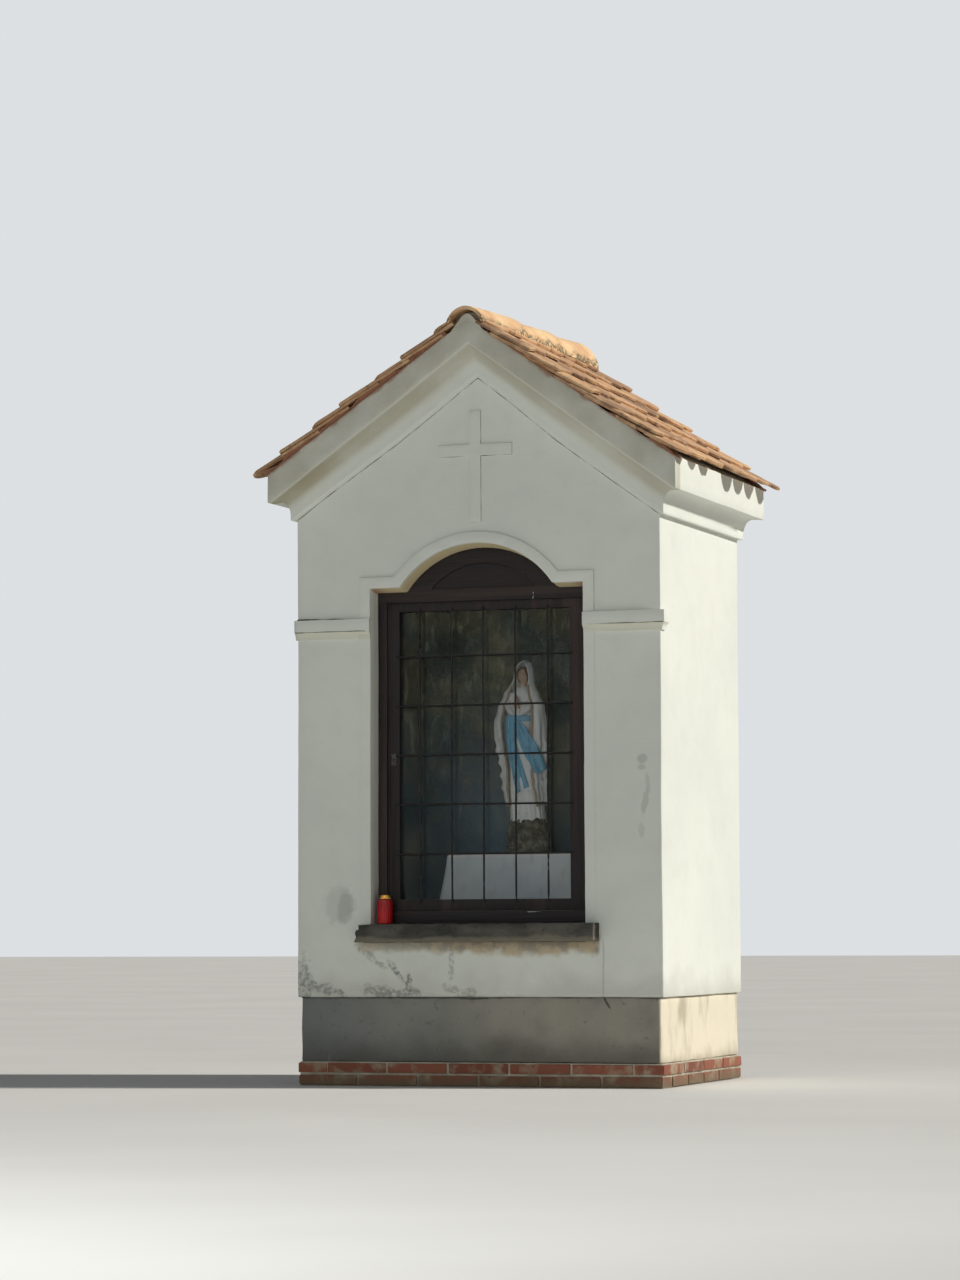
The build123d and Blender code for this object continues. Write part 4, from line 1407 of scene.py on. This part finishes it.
def figure_veil():
    """Mantle from the crown to the knees, open down the front, with a gilt edge."""
    # Height, half width, half depth and half angle of the opening
    table = (
        (0.07, 0.086, 0.063, 0.62),
        (0.19, 0.096, 0.062, 0.50),
        (0.32, 0.107, 0.060, 0.52),
        (0.41, 0.109, 0.057, 0.58),
        (0.46, 0.098, 0.052, 0.60),
        (0.50, 0.076, 0.046, 0.55),
        (0.525, 0.058, 0.043, 0.62),
        (0.545, 0.048, 0.043, 0.72),
        (0.57, 0.043, 0.041, 0.76),
        (0.60, 0.038, 0.038, 0.66),
        (0.618, 0.030, 0.031, 0.45),
        (0.630, 0.018, 0.020, 0.12),
        (0.6355, 0.004, 0.005, 0.05),
    )
    hem, crown = table[0][0], table[-1][0]
    edge = 0.93

    def where(step, k):
        """Height of a row, and share across the mantle from one edge to the other."""
        return hem + (crown - hem) * step / 75, k / 96 * 2 - 1

    def place(step, k):
        height, u = where(step, k)
        across, deep, opening = blend_table(table, height)
        fold = clamp((0.5 - height) / 0.2, 0.0, 1.0)
        angle = pi + u * (pi - opening)
        wave = sin(angle * 9 + 1.2 * sin(height * 9)) + 0.5 * sin(angle * 17 + height * 11)
        swell = 1 + 0.045 * fold * wave
        rim = max(0.0, abs(u) - edge) / 0.07
        p = turned(height, angle, across * swell + 0.006 * rim * (0.3 + fold), deep * swell)
        # The mantle's folds cascade down both sides
        knob = smooth(height, 0.10, 0.15) * smooth(height, 0.36, 0.30) * abs(sin(angle)) ** 3
        p.x += 0.013 * knob * (abs(sin(height * 62 + u)) - 0.5) * (1 if u > 0 else -1)
        p.y -= 0.004 * rim
        if height < 0.11:
            p.z += 0.006 * sin(angle * 7) * (0.11 - height) / 0.04
        return p

    bm, layer = toned_bmesh()
    lo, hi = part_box("statue_veil")
    for step, row in enumerate(skin(bm, grid(76, 97, place), closed=False)):
        for k, v in enumerate(row):
            height, u = where(step, k)
            gilt = abs(u) > 0.955 and height < 0.53 or height < 0.083
            v[layer] = (1.0 if gilt else 0.0, 0, 0, 1)
            v.co.y = clamp(v.co.y, lo.y + 0.001, hi.y - 0.001)
    piece = add_piece("figure_veil", bm, veil_material(), ["statue_veil"], 60)
    thicken(piece, 0.003)


# Hills and hollows of the face: x, z, half width, half height and lift, then those of each side
FACE = (
    (0, -0.004, 0.0034, 0.010, 0.0032),
    (0, -0.0095, 0.0042, 0.004, 0.0030),
    (0, 0.009, 0.016, 0.004, 0.0012),
    (0, -0.0185, 0.0062, 0.0022, 0.0012),
    (0, -0.0225, 0.0052, 0.0022, 0.0014),
    (0, -0.0204, 0.0066, 0.0008, -0.0012),
    (0, -0.0315, 0.0075, 0.005, 0.0022),
)
FACE_SIDES = (
    (0.0093, 0.0035, 0.0058, 0.0040, -0.0030),
    (0.0093, 0.0028, 0.0040, 0.0024, 0.0020),
    (0.0093, 0.0012, 0.0046, 0.0006, -0.0006),
    (0.0125, -0.010, 0.006, 0.006, 0.0009),
)


def figure_head():
    """Neck and head on plain proportions, turned slightly down, with parted hair."""
    centre = Vector((sway(0.572), axis_y - 0.004, foot_z + risen(0.572)))
    bowed = Euler((radians(7), 0, 0))
    hills = FACE + tuple((side * x, *rest) for side in (-1, 1) for x, *rest in FACE_SIDES)

    def head_point(step, angle):
        way = ball(pi * (step + 1) / 44, angle)
        jaw = 1 - 0.24 * max(0.0, -way.z - 0.15)
        p = Vector((way.x * 0.0245 * jaw, way.y * 0.029, way.z * 0.036))
        lift = sum(size * bell(p.x, cx, wx) * bell(p.z, cz, wz) for cx, cz, wx, wz, size in hills)
        p.y -= lift * max(0.0, -way.y)
        p.rotate(bowed)
        return centre + p

    def neck_point(step, angle):
        t = step / 8
        size = 0.0145 + 0.006 * (1 - t) ** 3
        return turned(0.515 + 0.04 * t, angle, size, size)

    def hair_point(step, k):
        polar = pi * 0.74 * step / 32
        u = k / 95 * 2 - 1
        parting = 0.02 if polar < 0.75 else 0.52 + 0.35 * max(0, polar - 0.9)
        way = ball(polar, pi + u * (pi - parting))
        wave = 0.0007 * sin(polar * 22 + 3 * abs(u)) + 0.0005 * sin(u * 60)
        p = Vector((way.x * 0.0268, way.y * 0.0308, way.z * 0.0378)) + way * wave
        p.rotate(bowed)
        return centre + p

    bm = bmesh.new()
    capped(bm, rings(43, 64, head_point))
    capped(bm, rings(9, 32, neck_point))
    add_piece("figure_head", bm, skin_paint, ["statue_head"], 80)
    hair = bmesh.new()
    rows = grid(33, 96, hair_point)
    rows[0] = [rows[0][0] + (p - rows[0][0]) * 0.02 for p in rows[1]]
    skin(hair, rows, closed=False)
    thicken(add_piece("figure_hair", hair, hair_paint, (), 80), 0.0016)


def figure_sleeves():
    """Bell sleeves to the wrists."""
    bm = bmesh.new()

    def section(t, angle):
        size = 0.020 - 0.004 * t + 0.006 * max(0, t - 0.6) / 0.4
        size *= 1 + 0.07 * sin(angle * 4 + t * 14) + 0.04 * sin(angle * 7 - t * 9)
        return size, size * (1.0 + 0.5 * t * max(0.0, -sin(angle)))

    for side in (-1, 1):
        lean = sway(0.47)
        start = Vector((side * 0.050 + lean, axis_y - 0.004, foot_z + 0.522))
        elbow = Vector((side * 0.058 + lean, axis_y - 0.028, foot_z + 0.456))
        wrist = Vector((side * 0.012 + lean, axis_y - 0.054, foot_z + 0.464))
        shares = [step / 20 for step in range(21)]
        points = [start.lerp(elbow, t).lerp(elbow.lerp(wrist, t), t) for t in shares]
        swept(bm, points, 32, section)
    add_piece("figure_sleeves", bm, robe_paint, (), 60)


def figure_hands():
    """Hands laid palm to palm."""
    bm = bmesh.new()
    for side in (-1, 1):
        palm = Vector((side * 0.0045 + sway(0.47), axis_y - 0.056, foot_z + 0.458))

        def palm_point(step, angle):
            t = step / 14
            wide = 0.0105 + 0.0025 * sin(pi * min(1, t * 1.3)) - 0.0045 * t
            deep = 0.0048 + 0.0012 * (1 - t)
            centre = palm + Vector((-side * 0.0006 * t, -0.006 * t, 0.028 * t))
            return centre + Vector((cos(angle) * deep, sin(angle) * wide, 0))

        capped(bm, rings(15, 20, palm_point))
        for finger, length in enumerate((0.026, 0.031, 0.029, 0.023)):
            root = palm + Vector((-side * 0.0004, -0.0125 + finger * 0.0052, 0.024))
            tip = root + Vector((-side * 0.0016, -0.006 + finger * 0.001, length))
            points = [root.lerp(tip, k / 6) for k in range(7)]
            tube(bm, points, lambda t: 0.0031 - 0.0009 * t - 0.0010 * max(0, t - 0.8) / 0.2, 10)
        thumb = ((0, 0.006, 0.008), (-side * 0.001, 0.0085, 0.018), (-side * 0.002, 0.0060, 0.030))
        tube(bm, [palm + Vector(place) for place in thumb], lambda t: 0.0036 - 0.0012 * t, 10)
    add_piece("figure_hands", bm, skin_paint, ["statue_hands"], 80)


def figure_sash():
    """Blue sash: a gathered band, a knot and two tails that follow the robe's front."""
    bm = bmesh.new()

    def band_point(k, s):
        angle, turn = 2 * pi * k / 72, 2 * pi * s / 12
        out = 0.0022 * cos(turn) + 0.0005 * sin(s * 3 + angle * 5)
        return turned(0.420 + 0.012 * sin(turn), angle, 0.0535 + out, 0.0418 + out)

    skin(bm, grid(72, 12, band_point), looped=True)
    # Two broad tails part from the knot: place, height and half width from top to end
    for tail in (
        ((-0.052, 0.430, 0.012), (-0.047, 0.35, 0.018), (-0.028, 0.25, 0.022), (0.004, 0.130, 0.027)),
        ((-0.034, 0.430, 0.010), (-0.002, 0.37, 0.022), (0.040, 0.29, 0.030), (0.082, 0.205, 0.020)),
    ):
        table = [(k, *place) for k, place in enumerate(tail)]

        def tail_point(step, s):
            x, z, half = blend_table(table, step / 12)
            u = s / 8 - 1
            x += u * half
            z += u * half * sin(radians(35)) * min(1.0, step / 12)
            off = x - sway(z)
            robe = 0.049 * sqrt(max(0.0, 1 - (off / 0.075) ** 2))
            mantle = 0.063 * sqrt(max(0.0, 1 - (off / 0.118) ** 2))
            deep = robe + (mantle - robe) * smooth(abs(off), 0.036, 0.056)
            pleat = 0.0034 * sin(u * 5 + step * 0.14)
            return Vector((x, axis_y - deep - 0.002 - pleat, foot_z + z))

        rows = grid(37, 17, tail_point)
        capped(bm, [row + [p + Vector((0, 0.0024, 0)) for p in row[::-1]] for row in rows])
    for v in bmesh.ops.create_icosphere(bm, subdivisions=3, radius=0.0110)["verts"]:
        v.co += noise.noise_vector(v.co * 160) * 0.0022
        v.co = Vector((v.co.x - 0.044, v.co.y * 0.62 + axis_y - 0.0425, v.co.z + foot_z + 0.424))
    add_piece("figure_sash", bm, blue_paint, ["statue_sash"], 60)


def ribbed(rows, depth, ribs):
    """A round form about the candle's axis, from rows of height, radius and whether it is ribbed."""
    centre = (jar_lo + jar_hi) / 2

    def place(step, angle):
        z, size, wavy = rows[step]
        size += depth * (cos(angle * ribs) * wavy - 1)
        return Vector((centre.x + size * cos(angle), centre.y + size * sin(angle), z))

    bm = bmesh.new()
    capped(bm, rings(len(rows), 96, place))
    return bm


def candle():
    """Grave light: a ribbed red jar under a gold tin lid with a crimped skirt."""
    radius, lid_radius = (jar_hi.x - jar_lo.x) / 2, (lid_hi.x - lid_lo.x) / 2
    neck = lid_radius / radius
    foot, top = radius - 0.0035, radius - 0.0005
    profile = ((0.0, 0.90), (0.008, 0.985), (0.03, 1), (0.89, 1), (0.93, 0.985), (0.98, neck), (1.0, neck))
    rows = []
    for t in (step / 30 for step in range(31)):
        size = (foot + (top - foot) * t) * blend_table(profile, t)[0]
        rows.append((jar_lo.z + (jar_hi.z - jar_lo.z) * t, size, 0.06 < t < 0.88))
    jar = ribbed(rows, 0.0005, 24)
    add_piece("light_jar", jar, candle_material(), ["candle_jar"])
    profile = ((0.0, 0.97), (0.0, 1.0), (0.28, 1.0), (0.32, 0.96), (0.86, 0.95), (1.0, 0.90), (1.0, 0.78))
    profile += ((0.86, 0.72), (0.86, 0.30), (0.92, 0.24), (0.92, 0.02))
    rows = [(lid_lo.z + (lid_hi.z - lid_lo.z) * t, lid_radius * size, t <= 0.31) for t, size in profile]
    lid = ribbed(rows, 0.0007, 32)
    add_piece("light_lid", lid, gilt_material(), ["candle_lid"])


weathered("altar_masonry", ["altar_block"], masonry, 0.004, 0.04, 0.001)
altar_cloth()
figure_base()
figure_robe()
figure_veil()
figure_head()
figure_sleeves()
figure_hands()
figure_sash()
candle()


# Floor, light and camera

def placed(name, data, place):
    """An object of some data at a place, linked into the scene."""
    holder = bpy.data.objects.new(name, data)
    holder.location = place
    scene.collection.objects.link(holder)
    return holder


def floor():
    """A plain pale floor."""
    bm = bmesh.new()
    bm.faces.new([bm.verts.new((x, y, 0)) for x, y in ((-40, -40), (40, -40), (40, 60), (-40, 60))])
    mesh = to_mesh(bm, "floor")
    s = Surface("pale floor", 0.9)
    s.ground(0.6, 3, 0.3, 0.7, (214, 213, 210), (220, 219, 216))
    mesh.materials.append(s.finished())
    placed("floor", mesh, (0, 0, 0))


def light(name, kind, place, size, power, tint):
    """A soft lamp that looks at the shrine: a sun's size is its angle, an area lamp's its side."""
    lamp = bpy.data.lights.new(name, kind)
    if kind == "SUN":
        lamp.angle = size
    else:
        lamp.size = size
    lamp.energy = power
    lamp.color = tint
    ahead = Vector((0, 0, 1.4)) - Vector(place)
    placed(name, lamp, place).rotation_euler = ahead.to_track_quat("-Z", "Y").to_euler()


def world():
    """Even sky for light, and a pale backdrop for the camera, gloss and glass."""
    made = bpy.data.worlds.new("studio")
    made.use_nodes = True
    scene.world = made
    tree = made.node_tree
    tree.nodes.clear()

    def node(kind, *inputs):
        """A node whose first inputs are linked to sockets or set to values."""
        new = tree.nodes.new("ShaderNode" + kind)
        for socket, value in zip(new.inputs, inputs):
            if isinstance(value, bpy.types.NodeSocket):
                tree.links.new(value, socket)
            else:
                socket.default_value = value
        return new

    path = node("LightPath").outputs
    through = node("Math", path["Is Glossy Ray"], path["Is Transmission Ray"])
    seen = node("Math", path["Is Camera Ray"], through.outputs[0])
    for chosen in (through, seen):
        chosen.operation = "MAXIMUM"
    sky = node("Background", (0.94, 0.97, 1.0, 1), 0.07)
    back = node("Background", (0.72, 0.745, 0.77, 1), 1.0)
    mix = node("MixShader", seen.outputs[0], sky.outputs[0], back.outputs[0])
    node("OutputWorld", mix.outputs[0])


def camera():
    """The photograph's place and angle."""
    data = bpy.data.cameras.new("camera")
    data.sensor_width = 36
    data.lens = 109.216
    data.clip_start, data.clip_end = 0.1, 200
    holder = placed("camera", data, (5.023, -14.775, 0.623))
    aim = Euler((radians(90 + 4.204), 0, radians(19.391))).to_quaternion()
    roll = Euler((0, 0, radians(-0.25))).to_quaternion()
    holder.rotation_mode = "QUATERNION"
    holder.rotation_quaternion = aim @ roll
    scene.camera = holder


floor()
world()
light("key", "SUN", (15.0, 3.0, 12.4), radians(4), 3.35, (1.0, 0.967, 0.905))
light("front fill", "AREA", (0.5, -9.0, 2.6), 4.0, 128, (0.94, 0.99, 1.0))
camera()

scene.view_settings.view_transform = "Standard"
